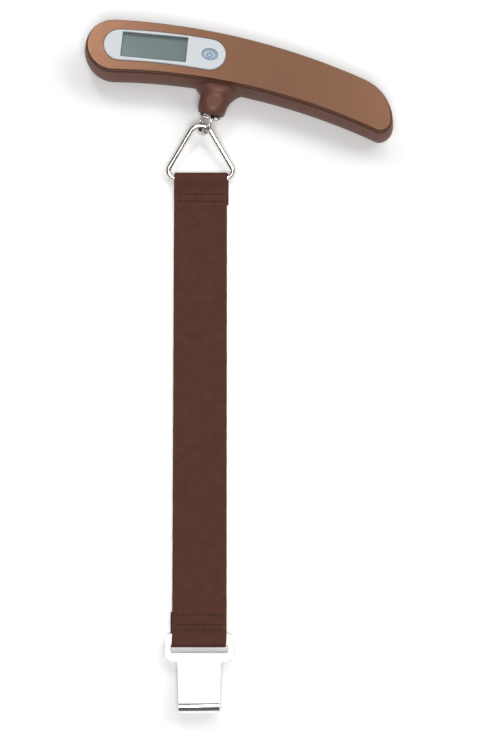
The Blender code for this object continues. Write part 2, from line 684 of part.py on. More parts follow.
def make_button(grip):
    """The cap and the switch's plunger move together, on an empty at the cap's centre."""
    bezel_low = FACE_HEIGHT - BEZEL_SEAT + GAP
    rim = FACE_HEIGHT + BEZEL_PROUD - BUTTON_SINK
    press = make_empty("button_press", (*bend(BUTTON_CENTRE, 0.0), rim), 0.0, grip)
    turn = tangent(BUTTON_CENTRE)
    flange_top = bezel_low - GAP - rim
    flange = oval(BUTTON_LENGTH + 2 * BUTTON_FLANGE, BUTTON_WIDTH + 2 * BUTTON_FLANGE)
    cap_outline = oval(BUTTON_LENGTH, BUTTON_WIDTH)
    flange_low = flange_top - BUTTON_FLANGE
    dish = [(share, BUTTON_DISH * (1 - share**2)) for share in BUTTON_DISH_STEPS]
    rounds = [
        ([(x * share, y * share) for x, y in cap_outline], -depth)
        for share, depth in (*BUTTON_RIM, *dish)
    ]
    cap = layered([
        (flange, flange_low),
        (flange, flange_top),
        (cap_outline, flange_top),
        *rounds,
    ])
    make_object("button_cap", cap, MATERIALS["button_blue"], press, turn=turn)
    switch_top = BOARD_TOP + GAP + SWITCH_HEIGHT
    plunger_low = switch_top - PLUNGER_SEAT - rim
    plunger = extruded(circle(PLUNGER_DIAMETER / 2), plunger_low, flange_low - GAP)
    make_object("switch_plunger", plunger, MATERIALS["black_plastic"], press)
    square = rounded_box(SWITCH_SIZE, SWITCH_SIZE, SMALL_CORNER, 2)
    body = extruded(square, BOARD_TOP + GAP, switch_top)
    place = (*bend(BUTTON_CENTRE, 0.0), 0.0)
    switch = make_object("switch_body", body, MATERIALS["silver"], grip, place, turn)
    well_floor = switch_top - PLUNGER_SEAT - BUTTON_TRAVEL - GAP
    well = extruded(circle(PLUNGER_DIAMETER / 2 + GAP), well_floor, switch_top + OVERRUN)
    cut(switch, make_tool("plunger_well", well, grip, place))


def make_board(grip):
    outline = [
        (BOARD_LEFT, -BOARD_WIDTH / 2),
        *divide((BOARD_LEFT, -BOARD_WIDTH / 2), (BOARD_RIGHT, -BOARD_WIDTH / 2), 6),
        (BOARD_RIGHT, -BOARD_WIDTH / 2),
        (BOARD_RIGHT, BOARD_WIDTH / 2),
        *divide((BOARD_RIGHT, BOARD_WIDTH / 2), (BOARD_LEFT, BOARD_WIDTH / 2), 6),
        (BOARD_LEFT, BOARD_WIDTH / 2),
    ]
    board = bent(outline, BOARD_TOP - BOARD_THICKNESS, BOARD_TOP)
    make_object("main_board", board, MATERIALS["board_green"], grip)
    radius = CHIP_DIAMETER / 2
    turns = [math.radians(90.0 * i / 4) for i in range(5)]
    dome = [(radius * math.cos(t), CHIP_HEIGHT * math.sin(t)) for t in turns[:-1]]
    blob = turned([(0.0, 0.0), *dome, (0.0, CHIP_HEIGHT)])
    place = (*bend(CHIP_CENTRE, 0.0), BOARD_TOP + GAP)
    make_object("controller_chip", blob, MATERIALS["black_plastic"], grip, place)


# ---- Load cell ----------------------------------------------------------------------------
def make_screw(name, diameter, head_size, length, parent, place, head_down):
    """A round-headed screw along Z with its head's face at the place."""
    head, head_height = head_size
    profile = [
        (0.0, 0.0),
        (0.8 * head / 2, 0.0),
        (head / 2, 0.35 * head_height),
        (head / 2, head_height),
        (diameter / 2, head_height),
        (diameter / 2, head_height + length - 0.5 * diameter),
        (0.3 * diameter, head_height + length),
        (0.0, head_height + length),
    ]
    if not head_down:
        profile = [(radius, -z) for radius, z in profile]
    screw = make_object(name, turned(profile, 16), MATERIALS["steel"], parent, place)
    length, width = (head * share for share in DRIVE_SLOT)
    low, high = (-OVERRUN, DRIVE_DEPTH) if head_down else (-DRIVE_DEPTH, OVERRUN)
    for turn, label in ((0.0, "a"), (math.pi / 2, "b")):
        slot = extruded(rounded_box(length, width, width / 3, 1), low, high)
        cut(screw, make_tool(f"{name}_drive_{label}", slot, parent, place, turn))


def make_load_cell(grip):
    left, right = -LOAD_CELL_LEFT, LOAD_CELL_RIGHT
    low, high = LOAD_HEIGHT - LOAD_CELL_DEPTH / 2, LOAD_HEIGHT + LOAD_CELL_DEPTH / 2
    length = right - left
    middle = (left + right) / 2
    block = extruded(rounded_box(length, LOAD_CELL_WIDTH, SMALL_CORNER, 2), low, high)
    cell = make_object("load_cell", block, MATERIALS["aluminium"], grip, (middle, 0.0, 0.0))
    stem_hole = loft([
        [(x, y, LOAD_HEIGHT + z) for x, z in circle(BAIL_STEM / 2 + GAP, 20)]
        for y in (-LOAD_CELL_WIDTH, LOAD_CELL_WIDTH)
    ])
    cut(cell, make_tool("stem_hole", stem_hole, grip))
    slot_middle = sum(FLEXURES) / 2
    slot_length = FLEXURES[1] - FLEXURES[0]
    outline = dog_bone(slot_length, LOAD_CELL_BORE / 2, LOAD_CELL_SLOT / 2)
    opening = extruded(outline, low - OVERRUN, high + OVERRUN)
    cut(cell, make_tool("flexure_opening", opening, grip, (slot_middle, 0.0, 0.0)))
    for i, x in enumerate(LOAD_CELL_SCREWS, 1):
        radius = LOAD_CELL_SCREW_DIAMETER / 2
        hole = extruded(circle(radius + GAP, 16), low - OVERRUN, high + OVERRUN)
        cut(cell, make_tool(f"cell_screw_hole_{i}", hole, grip, (-x, 0.0, 0.0)))
        make_screw(
            f"load_cell_screw_{i}",
            LOAD_CELL_SCREW_DIAMETER,
            LOAD_CELL_SCREW_HEAD,
            LOAD_CELL_DEPTH + LOAD_CELL_SCREW_REACH,
            grip,
            (-x, 0.0, high + GAP + LOAD_CELL_SCREW_HEAD[1]),
            head_down=False,
        )
    for name, side in (("strain_gauge_upper", 1.0), ("strain_gauge_lower", -1.0)):
        face = side * (LOAD_CELL_WIDTH / 2 + GAP)
        outline = rounded_box(slot_length + 2 * GAUGE_MARGIN, GAUGE_WIDTH, GAUGE_CORNER, 3)
        pad = loft([
            [(x, y, LOAD_HEIGHT + z) for x, z in outline]
            for y in (face, face + side * GAUGE_THICKNESS)
        ])
        make_object(name, pad, MATERIALS["gauge_seal"], grip, (slot_middle, 0.0, 0.0))


def make_bail(grip):
    """The wire loop in the neck's mouth that the load ring hangs in, with its threaded stem."""
    reach = BAIL_HALF_WIDTH - BAIL_CORNER
    top, bottom = -BAIL_TOP - BAIL_CORNER, -BAIL_BAR + BAIL_CORNER
    corners = (
        (reach, top, 0.0),
        (-reach, top, 90.0),
        (-reach, bottom, 180.0),
        (reach, bottom, 270.0),
    )
    path = [
        (x, y, LOAD_HEIGHT)
        for cx, cy, start in corners
        for x, y in arc((cx, cy), BAIL_CORNER, start, start + 90.0, 4)
    ]
    loop = swept(path, circle(BAIL_WIRE / 2, 12), closed=True)
    bail = make_object("load_bail", loop, MATERIALS["steel"], grip)
    stem = loft([
        [(x, y, LOAD_HEIGHT + z) for x, z in circle(BAIL_STEM / 2, 16)]
        for y in (-BAIL_TOP - BAIL_WIRE / 4, BAIL_STEM_END)
    ])
    add(bail, make_tool("bail_stem", stem, grip))
    low = LOAD_CELL_WIDTH / 2 + GAP
    hexagon = circle(BAIL_NUT_WIDTH / math.sqrt(3), 6)
    prism = loft([
        [(x, y, LOAD_HEIGHT + z) for x, z in hexagon]
        for y in (low, low + BAIL_NUT_THICKNESS)
    ])
    nut = make_object("bail_nut", prism, MATERIALS["steel"], grip)
    bore = loft([
        [(x, y, LOAD_HEIGHT + z) for x, z in circle(BAIL_STEM / 2 + GAP, 16)]
        for y in (low - OVERRUN, low + BAIL_NUT_THICKNESS + OVERRUN)
    ])
    cut(nut, make_tool("nut_bore", bore, grip))


# ---- Battery, screws and wires ------------------------------------------------------------
def make_battery(grip):
    centre = bend(CELL_CENTRE, 0.0)
    turn = tangent(CELL_CENTRE)
    radius = CELL_DIAMETER / 2
    inwards, step = CELL_STEP
    profile = [
        (0.0, 0.0),
        (radius - CELL_EDGE, 0.0),
        (radius, CELL_EDGE),
        (radius, CELL_THICKNESS - step),
        (radius - inwards, CELL_THICKNESS - step),
        (radius - inwards - CELL_EDGE, CELL_THICKNESS),
        (0.0, CELL_THICKNESS),
    ]
    cell = turned(profile, 36)
    make_object("coin_cell", cell, MATERIALS["steel"], grip, (*centre, CELL_BASE))
    sheet_low = CELL_BASE + CELL_THICKNESS + GAP
    holder_low = sheet_low + CONTACT_SHEET + GAP
    outline = rounded_box(HOLDER_LENGTH, HOLDER_WIDTH, HOLDER_CORNER)
    plate = extruded(outline, holder_low, holder_low + HOLDER_THICKNESS)
    plastic = MATERIALS["black_plastic"]
    holder = make_object("battery_holder", plate, plastic, grip, (*centre, 0.0), turn)
    reach = radius + GAP + HOLDER_POST / 2
    angles = [side + way * HOLDER_POST_TURN for side in (0.0, math.pi) for way in (-1.0, 1.0)]
    for i, angle in enumerate(angles, 1):
        post = extruded(circle(HOLDER_POST / 2, 16), CELL_BASE + CELL_EDGE, holder_low + EMBED)
        x, y = reach * math.cos(turn + angle), reach * math.sin(turn + angle)
        add(holder, make_tool(f"holder_post_{i}", post, grip, (centre[0] + x, centre[1] + y, 0.0)))
    outline = rounded_box(CONTACT_LENGTH, CONTACT_WIDTH, CONTACT_CORNER, 3)
    leaf = extruded(outline, sheet_low, sheet_low + CONTACT_SHEET)
    make_object("contact_negative", leaf, MATERIALS["spring_metal"], grip, (*centre, 0.0), turn)
    start = -radius - GAP - CONTACT_SHEET
    low, high = CELL_BASE + CELL_EDGE, holder_low - GAP
    outline = rounded_box(CONTACT_SHEET, CONTACT_WIDTH, CONTACT_SHEET / 4, 1)
    clip = extruded(outline, low, high)
    offset = Matrix.Rotation(turn, 3, "Z") @ Vector((start, 0.0, 0.0))
    place = Vector((*centre, 0.0)) + offset
    make_object("contact_positive", clip, MATERIALS["spring_metal"], grip, place, turn)


def make_case_screws(grip):
    for i, u in enumerate(CASE_SCREWS, 1):
        place = (*bend(u, 0.0), SCREW_SINK)
        make_screw(
            f"case_screw_{i}",
            SCREW_DIAMETER,
            SCREW_HEAD,
            SCREW_LENGTH,
            grip,
            place,
            head_down=True,
        )


def smooth_route(points, per_leg=4):
    """A smooth curve through the points, as Catmull-Rom legs."""
    knots = [Vector(p) for p in points]
    knots = [2 * knots[0] - knots[1], *knots, 2 * knots[-1] - knots[-2]]
    route = []
    for a, b, c, d in zip(knots, knots[1:], knots[2:], knots[3:]):
        for i in range(per_leg):
            t = i / per_leg
            route.append(0.5 * (
                2 * b + (c - a) * t + (2 * a - 5 * b + 4 * c - d) * t**2
                + (3 * b - a - 3 * c + d) * t**3
            ))
    route.append(knots[-2])
    return route


def make_wire(name, points, diameter, material, grip):
    curve = bpy.data.curves.new(name, "CURVE")
    curve.dimensions = "3D"
    curve.bevel_depth = diameter / 2
    curve.bevel_resolution = 2
    curve.use_fill_caps = True
    route = smooth_route(points)
    spline = curve.splines.new("POLY")
    spline.points.add(len(route) - 1)
    for point, place in zip(spline.points, route):
        point.co = (*place, 1.0)
    curve.materials.append(material)
    wire = bpy.data.objects.new(name, curve)
    bpy.context.scene.collection.objects.link(wire)
    wire.parent = grip


def make_wires(grip):
    under_board = BOARD_TOP - BOARD_THICKNESS - GAP - WIRE_DIAMETER
    side = -LOAD_CELL_WIDTH / 2
    lead = [(x, side - out, LOAD_HEIGHT + up) for x, out, up in GAUGE_LEAD_ROUTE]
    lead.append((*GAUGE_LEAD_END, under_board))
    make_wire("gauge_leads", lead, GAUGE_LEAD_DIAMETER, MATERIALS["white_wire"], grip)
    holder_top = CELL_BASE + CELL_THICKNESS + HOLDER_THICKNESS + CONTACT_SHEET + 2 * GAP
    start_height = holder_top + GAP + WIRE_DIAMETER
    for name, side, colour in (
        ("battery_wire_positive", 1.0, "red_wire"),
        ("battery_wire_negative", -1.0, "black_wire"),
    ):
        route = [(*bend(u, side * v), start_height + up) for u, v, up in BATTERY_WIRE_ROUTE]
        u, v = BATTERY_WIRE_END
        route.append((*bend(u, side * v), BOARD_TOP + GAP + WIRE_DIAMETER))
        make_wire(name, route, WIRE_DIAMETER, MATERIALS[colour], grip)


# ---- Rings --------------------------------------------------------------------------------
def make_load_ring(grip):
    """The split ring that hangs in the bail, leaning about the load axis."""
    swing = make_empty("ring_swing", (0.0, -BAIL_BAR, LOAD_HEIGHT), 0.0, grip)
    radius = (LOAD_RING_DIAMETER - LOAD_RING_RADIAL) / 2
    hang = BAIL_WIRE / 2 + LOAD_RING_SLACK + LOAD_RING_RADIAL / 2 - radius
    centre = Vector((LOAD_RING_PLACE[0], hang, LOAD_RING_PLACE[1] - LOAD_HEIGHT))
    lean = Matrix.Rotation(LOAD_RING_LEAN, 3, "Y")
    section = rounded_box(LOAD_RING_AXIAL, LOAD_RING_RADIAL, LOAD_RING_EDGE, 2)
    mesh = bmesh.new()
    loops = []
    for along, out in section:
        loop = []
        for a, b in circle(radius + out, 28):
            loop.append(mesh.verts.new(centre + lean @ Vector((along, a, b))))
        loops.append(loop)
    for lower, upper in zip(loops, loops[1:] + loops[:1]):
        for i, corner in enumerate(lower):
            j = (i + 1) % len(lower)
            mesh.faces.new((corner, lower[j], upper[j], upper[i]))
    bmesh.ops.recalc_face_normals(mesh, faces=mesh.faces)
    make_object("load_ring", mesh, MATERIALS["nickel"], swing)


def bar_height():
    """The strap's top loop lies on the ground, and the triangle's bar lies in it."""
    return WEBBING + LOOP_CLEARANCE + TRIANGLE_WIRE / 2


def belt(circles, steps):
    """The closed path of a belt laid round circles, each (x, y, radius), counter-clockwise."""
    path = []
    count = len(circles)
    for i, (x, y, radius) in enumerate(circles):
        normals = []
        for a, b in ((circles[i - 1], circles[i]), (circles[i], circles[(i + 1) % count])):
            dx, dy = b[0] - a[0], b[1] - a[1]
            angle = math.atan2(dy, dx) - math.acos((a[2] - b[2]) / math.hypot(dx, dy))
            normals.append(math.degrees(angle))
        start, end = normals
        while end < start:
            end += 360.0
        path.extend(arc((x, y), radius, start, end, steps))
    return path


def make_triangle():
    """The bent-wire triangle, sloping down from the load ring to its bar in the strap."""
    turn = make_empty("triangle_turn", (STRAP_CENTRE, *TRIANGLE_APEX))
    rise = TRIANGLE_APEX[1] - bar_height()
    run = TRIANGLE_APEX[0] - TRIANGLE_BAR_Y
    slope_length = math.hypot(rise, run)
    corner_x = (TRIANGLE_WIDTH - TRIANGLE_WIRE) / 2 - TRIANGLE_CORNER_RADIUS
    corner_y = TRIANGLE_CORNER_RADIUS - slope_length
    flat = belt(
        [
            (0.0, -TRIANGLE_APEX_RADIUS, TRIANGLE_APEX_RADIUS),
            (-corner_x, corner_y, TRIANGLE_CORNER_RADIUS),
            (corner_x, corner_y, TRIANGLE_CORNER_RADIUS),
        ],
        8,
    )
    slope = Matrix.Rotation(math.atan2(rise, run), 3, "X")
    path = [slope @ Vector((x, y, 0.0)) for x, y in flat]
    wire = swept(path, circle(TRIANGLE_WIRE / 2, 12), closed=True)
    make_object("triangle_ring", wire, MATERIALS["nickel"], turn)


# ---- Strap --------------------------------------------------------------------------------
def strap_piece(name, outline, hinge):
    """A length of webbing, from its side outline in (y, z), with its origin on a hinge."""
    half = STRAP_WIDTH / 2
    local = [(y - hinge[0], z - hinge[1]) for y, z in outline]
    piece = crosswise(local, -half, half)
    place = (STRAP_CENTRE, *hinge)
    return make_object(name, piece, MATERIALS["webbing"], place=place)


def across_tool(name, outline):
    half = STRAP_WIDTH
    return make_tool(name, crosswise(outline, -half, half), place=(STRAP_CENTRE, 0.0, 0.0))


def make_top_loop():
    """The fold round the triangle's bar, with the hem stitched under it."""
    centre = (TRIANGLE_BAR_Y, bar_height())
    inner = TRIANGLE_WIRE / 2 + LOOP_CLEARANCE
    outer = inner + WEBBING
    double = 2 * WEBBING
    fold = TRIANGLE_BAR_Y + outer
    hem_end = fold - TOP_HEM
    end = hem_end - HEM_SLOPE - HEM_TAIL
    neck_y = centre[0] - TOP_LOOP_NECK * outer
    outline = [
        *arc(centre, outer, 270.0, 480.0, 16),
        (neck_y, double),
        (hem_end, double),
        (hem_end - HEM_SLOPE, WEBBING),
        (end, WEBBING),
        (end, 0.0),
    ]
    loop = strap_piece("strap_top_loop", outline, centre)
    cut(loop, across_tool("bar_hole", circle(inner, 16, centre)))
    return end


def hook_bar_centre():
    """Y and Z of the middle of the hook's bar, which lies in the strap's bottom loop."""
    half_y = HOOK_BAR / 2 * math.cos(HOOK_LEAN) + HOOK_PLATE / 2 * math.sin(HOOK_LEAN)
    half_z = HOOK_BAR / 2 * math.sin(HOOK_LEAN) + HOOK_PLATE / 2 * math.cos(HOOK_LEAN)
    y = STRAP_END_Y + WEBBING + LOOP_CLEARANCE + half_y
    return (y, WEBBING + LOOP_CLEARANCE + half_z)


def slot_shape(centre, half_length, radius, lean, steps=8):
    """A round-ended slot in (y, z), leaning up towards -Y."""
    reach = half_length - radius
    ends = []
    for side, start in ((1.0, -90.0), (-1.0, 90.0)):
        ends.extend(arc((side * reach, 0.0), radius, start, start + 180.0, steps))
    c, s = math.cos(-lean), math.sin(-lean)
    return [(centre[0] + y * c - z * s, centre[1] + y * s + z * c) for y, z in ends]


def bottom_neck():
    """Y of the hinge between the bottom hem and the loop round the hook's bar."""
    centre = hook_bar_centre()
    return centre[0] + HOOK_BAR / 2 + BOTTOM_LOOP_NECK


def make_strap_segments(start):
    """Equal lengths of single webbing between the two hems, each hinged to the last."""
    end = bottom_neck() + BOTTOM_HEM - HOOK_BAR + HEM_SLOPE
    pitch = (start - end) / STRAP_SEGMENTS
    for i in range(STRAP_SEGMENTS):
        high = start - i * pitch - HINGE_GAP / 2
        low = start - (i + 1) * pitch + HINGE_GAP / 2
        if i == 0:
            high -= HINGE_GAP / 2
        hinge = (start - i * pitch - (HINGE_GAP / 2 if i == 0 else 0.0), WEBBING / 2)
        outline = [(low, 0.0), (high, 0.0), (high, WEBBING), (low, WEBBING)]
        strap_piece(f"strap_segment_{i + 1}", outline, hinge)
    return end


def make_bottom_end(start):
    """The stitched hem, and the loop of webbing that holds the hook's bar."""
    neck_y = bottom_neck()
    double = 2 * WEBBING
    high = start - HINGE_GAP / 2
    slope = high - HEM_EDGE
    low = neck_y + HEM_HINGE_GAP / 2
    hem = [
        (low, 0.0),
        (high, 0.0),
        (high, WEBBING),
        (slope, WEBBING),
        (slope - HEM_SLOPE, double),
        (low, double),
    ]
    strap_piece("strap_bottom_hem", hem, (start, WEBBING / 2))
    centre = hook_bar_centre()
    inner = HOOK_PLATE / 2 + LOOP_CLEARANCE
    reach = HOOK_BAR / 2 + 2 * LOOP_CLEARANCE
    outer = slot_shape(centre, reach + WEBBING, inner + WEBBING, HOOK_LEAN)
    loop = strap_piece("strap_bottom_loop", outer, (neck_y, WEBBING))
    tail_start = neck_y - HEM_HINGE_GAP / 2
    tail_end = centre[0]
    tail = [(tail_end, SKIM), (tail_start, SKIM), (tail_start, double), (tail_end, double)]
    half = STRAP_WIDTH / 2
    tool = make_tool("loop_tail", crosswise(tail, -half, half), place=(STRAP_CENTRE, 0.0, 0.0))
    add(loop, tool)
    hole = slot_shape(centre, reach, inner, HOOK_LEAN)
    cut(loop, across_tool("hook_bar_hole", hole))


# ---- Hook clip ----------------------------------------------------------------------------
def hook_plan():
    """The flat blank in (x, y) below its top edge: a wide head, shoulders and a tongue."""
    half, tongue = HOOK_WIDTH / 2, HOOK_TONGUE / 2
    end, end_half = -HOOK_LENGTH, HOOK_TONGUE_END / 2
    radius, inside = HOOK_CORNER, HOOK_INNER_CORNER
    return [
        *arc((-half + radius, -radius), radius, 90.0, 180.0, 5),
        *arc((-half + radius, -HOOK_SHOULDER + radius), radius, 180.0, 270.0, 5),
        *arc((-tongue - inside, -HOOK_SHOULDER - inside), inside, 90.0, 0.0, 3),
        (-end_half, end),
        (end_half, end),
        *arc((tongue + inside, -HOOK_SHOULDER - inside), inside, 180.0, 90.0, 3),
        *arc((half - radius, -HOOK_SHOULDER + radius), radius, 270.0, 360.0, 5),
        *arc((half - radius, -radius), radius, 0.0, 90.0, 5),
    ]


def hook_side():
    """The bent strip in (y, z), seen from the side, with the plate's mid surface at z = 0."""
    half = HOOK_PLATE / 2
    bend_y = -HOOK_LENGTH + HOOK_BEND + half
    end_y = bend_y + HOOK_RETURN
    centre = (bend_y, -HOOK_BEND)
    return [
        (OVERRUN, half),
        *arc(centre, HOOK_BEND + half, 90.0, 270.0, 12),
        (end_y, -2 * HOOK_BEND - half),
        (end_y, -2 * HOOK_BEND + half),
        *arc(centre, HOOK_BEND - half, 270.0, 90.0, 12),
        (OVERRUN, -half),
    ]


def make_hook():
    """A flat plate with a slot for the strap and a tongue turned under into a hook."""
    bar_y, bar_z = hook_bar_centre()
    turn = make_empty("hook_turn", (STRAP_CENTRE, bar_y, bar_z))
    turn.rotation_euler = (-HOOK_LEAN, 0.0, 0.0)
    place = (0.0, HOOK_BAR / 2, 0.0)
    strip = crosswise(hook_side(), -HOOK_WIDTH, HOOK_WIDTH)
    hook = make_object("hook_clip", strip, MATERIALS["nickel"], turn, place)
    deep = 3 * HOOK_BEND + HOOK_PLATE
    plan = make_tool("hook_plan", extruded(hook_plan(), -deep, HOOK_PLATE), turn, place)
    combine(hook, plan, "INTERSECT")
    outline = rounded_box(HOOK_SLOT_WIDTH, HOOK_SLOT, HOOK_INNER_CORNER)
    slot = extruded(outline, -HOOK_PLATE, HOOK_PLATE)
    slot_place = (0.0, -HOOK_BAR / 2 - HOOK_SLOT / 2, 0.0)
    cut(hook, make_tool("hook_slot", slot, turn, slot_place))


# ---- Build --------------------------------------------------------------------------------
for leftover in list(bpy.data.objects):
    bpy.data.objects.remove(leftover)

MATERIALS = {
    "tool": make_material("tool", (0.8, 0.8, 0.8), 0.5),
    "copper": make_material("copper", (0.36, 0.19, 0.12), 0.38, 0.55),
    "dark_plastic": make_material("dark_plastic", (0.10, 0.050, 0.040), 0.4, 0.2),
    "bezel_grey": make_material("bezel_grey", (0.66, 0.69, 0.72), 0.45),
    "clear": make_material("clear", (0.85, 0.87, 0.87), 0.08),
    "lcd": make_material("lcd", (0.17, 0.22, 0.21), 0.25),
    "silver": make_material("silver", (0.60, 0.61, 0.62), 0.35, 0.8),
    "rubber": make_material("rubber", (0.55, 0.40, 0.42), 0.8),
    "button_blue": make_material("button_blue", (0.30, 0.45, 0.62), 0.4),
    "black_plastic": make_material("black_plastic", (0.02, 0.02, 0.02), 0.5),
    "board_green": make_material("board_green", (0.02, 0.14, 0.06), 0.45),
    "aluminium": make_material("aluminium", (0.72, 0.73, 0.74), 0.35, 1.0),
    "steel": make_material("steel", (0.62, 0.62, 0.63), 0.3, 1.0),
    "nickel": make_material("nickel", (0.78, 0.75, 0.70), 0.15, 1.0),
    "spring_metal": make_material("spring_metal", (0.70, 0.62, 0.45), 0.3, 1.0),
    "gauge_seal": make_material("gauge_seal", (0.80, 0.80, 0.76), 0.5),
    "white_wire": make_material("white_wire", (0.75, 0.75, 0.73), 0.5),
    "red_wire": make_material("red_wire", (0.50, 0.03, 0.03), 0.45),
    "black_wire": make_material("black_wire", (0.02, 0.02, 0.02), 0.45),
    "webbing": make_material("webbing", (0.095, 0.040, 0.030), 0.8),
}

grip_frame = make_empty("grip_frame", turn=GRIP_TURN)
casing_hollow = make_casing(grip_frame)
make_battery_cover(grip_frame, casing_hollow)
make_front_panel(grip_frame)
make_display(grip_frame)
make_button(grip_frame)
make_board(grip_frame)
make_load_cell(grip_frame)
make_bail(grip_frame)
make_battery(grip_frame)
make_case_screws(grip_frame)
make_wires(grip_frame)
make_load_ring(grip_frame)
make_triangle()
top_end = make_top_loop()
strap_end = make_strap_segments(top_end)
make_bottom_end(strap_end)
make_hook()
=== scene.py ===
import json
import math

import bmesh
import bpy
from mathutils import Matrix, Vector


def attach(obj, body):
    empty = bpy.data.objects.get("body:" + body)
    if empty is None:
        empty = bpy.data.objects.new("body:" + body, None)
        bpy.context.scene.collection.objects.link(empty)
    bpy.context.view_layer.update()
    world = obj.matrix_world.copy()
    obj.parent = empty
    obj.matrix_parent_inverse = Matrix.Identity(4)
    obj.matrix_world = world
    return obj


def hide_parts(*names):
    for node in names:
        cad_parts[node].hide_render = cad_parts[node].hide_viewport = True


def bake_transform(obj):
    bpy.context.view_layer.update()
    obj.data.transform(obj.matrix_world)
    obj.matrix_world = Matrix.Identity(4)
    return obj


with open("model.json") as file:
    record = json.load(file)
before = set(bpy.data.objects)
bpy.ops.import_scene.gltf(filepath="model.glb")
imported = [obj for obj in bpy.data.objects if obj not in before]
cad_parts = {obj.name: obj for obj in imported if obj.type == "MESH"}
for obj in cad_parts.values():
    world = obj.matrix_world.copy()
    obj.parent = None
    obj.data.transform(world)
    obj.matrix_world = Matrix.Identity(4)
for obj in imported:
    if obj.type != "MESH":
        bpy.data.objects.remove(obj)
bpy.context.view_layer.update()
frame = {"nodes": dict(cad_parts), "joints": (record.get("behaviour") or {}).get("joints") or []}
NODES = frame["nodes"]

MM = 0.001

# ---- Sizes, in the frame of the part ------------------------------------------------------
GRIP_TURN = math.radians(-13.0)
SPINE_RADIUS = 303.9 * MM
SPINE_CREST = (5.9 * MM, 0.55 * MM)  # the highest point of the grip's bent spine
BUTTON_CENTRE = -11.9 * MM  # its place along the spine
BUTTON_RIM = 23.7 * MM  # its height
BUTTON_DISH = (3.7 * MM, 2.7 * MM, 0.5 * MM)  # half length, half width and depth
RING_CENTRE = (-1.4 * MM, -28.9 * MM, 9.2 * MM)
RING_LEAN = math.radians(30.0)
RING_RADIUS = 5.2 * MM
TRIANGLE_APEX = (-29.0 * MM, 9.5 * MM)  # (y, z), as for the two bars
TRIANGLE_BAR = (-52.8 * MM, 2.65 * MM)
TRIANGLE_WIDTH = 33.0 * MM
TRIANGLE_WIRE = 2.5 * MM
HOOK_BAR = (-276.05 * MM, 2.72 * MM)
HOOK_BAR_WIDTH = 5.5 * MM
HOOK_SHEET = 1.5 * MM
HOOK_LEAN = math.radians(12.3)

HINGES = {joint["name"]: joint for joint in frame["joints"] if joint["type"] == "hinge"}
FLEX = [HINGES[f"strap_flex_{number}"]["pos_m"][1] for number in range(1, 7)]
HOOK_HINGE = HINGES["hook_turn"]["pos_m"][1]

STRAP_X = -10.2 * MM
STRAP_HALF = 12.5 * MM
LAYER = 1.0 * MM  # thickness of the cloth
LOW, HIGH = 0.55 * MM, 1.62 * MM  # middle of the lower and of the upper layer
CLOTH_GAP = 0.32 * MM  # between the cloth and the metal that it goes round
TOP_HEM_END = -65.5 * MM
BOTTOM_HEM_END = -262.7 * MM
TOP_LOOP_END = TRIANGLE_BAR[0] - 7.2 * MM
FLAT_END = HOOK_HINGE - 0.4 * MM
TAIL_ASIDE = 0.75 * MM  # how far a tail lies to one side of the layer over it
LINE_STEP = 0.6 * MM
TOP_STITCHES = (-60.6 * MM, -64.2 * MM)
BOTTOM_STITCHES = (-264.2 * MM, -268.9 * MM)
STITCH_PITCH = 2.45 * MM
STITCH_RADIUS = 0.25 * MM
STITCH_MARGIN = 1.2 * MM  # from the strap's edge to the first stitch
DENT_DEPTH, DENT_WIDTH = 0.22 * MM, 0.75 * MM  # where a row of stitches pulls the cloth in

GRIP = Matrix.Rotation(GRIP_TURN, 4, "Z")


def bend(u, v):
    """The point at (u, v) along the grip's bent spine, in the grip's frame."""
    angle, reach = u / SPINE_RADIUS, SPINE_RADIUS + v
    return (
        SPINE_CREST[0] + reach * math.sin(angle),
        SPINE_CREST[1] - SPINE_RADIUS + reach * math.cos(angle),
    )


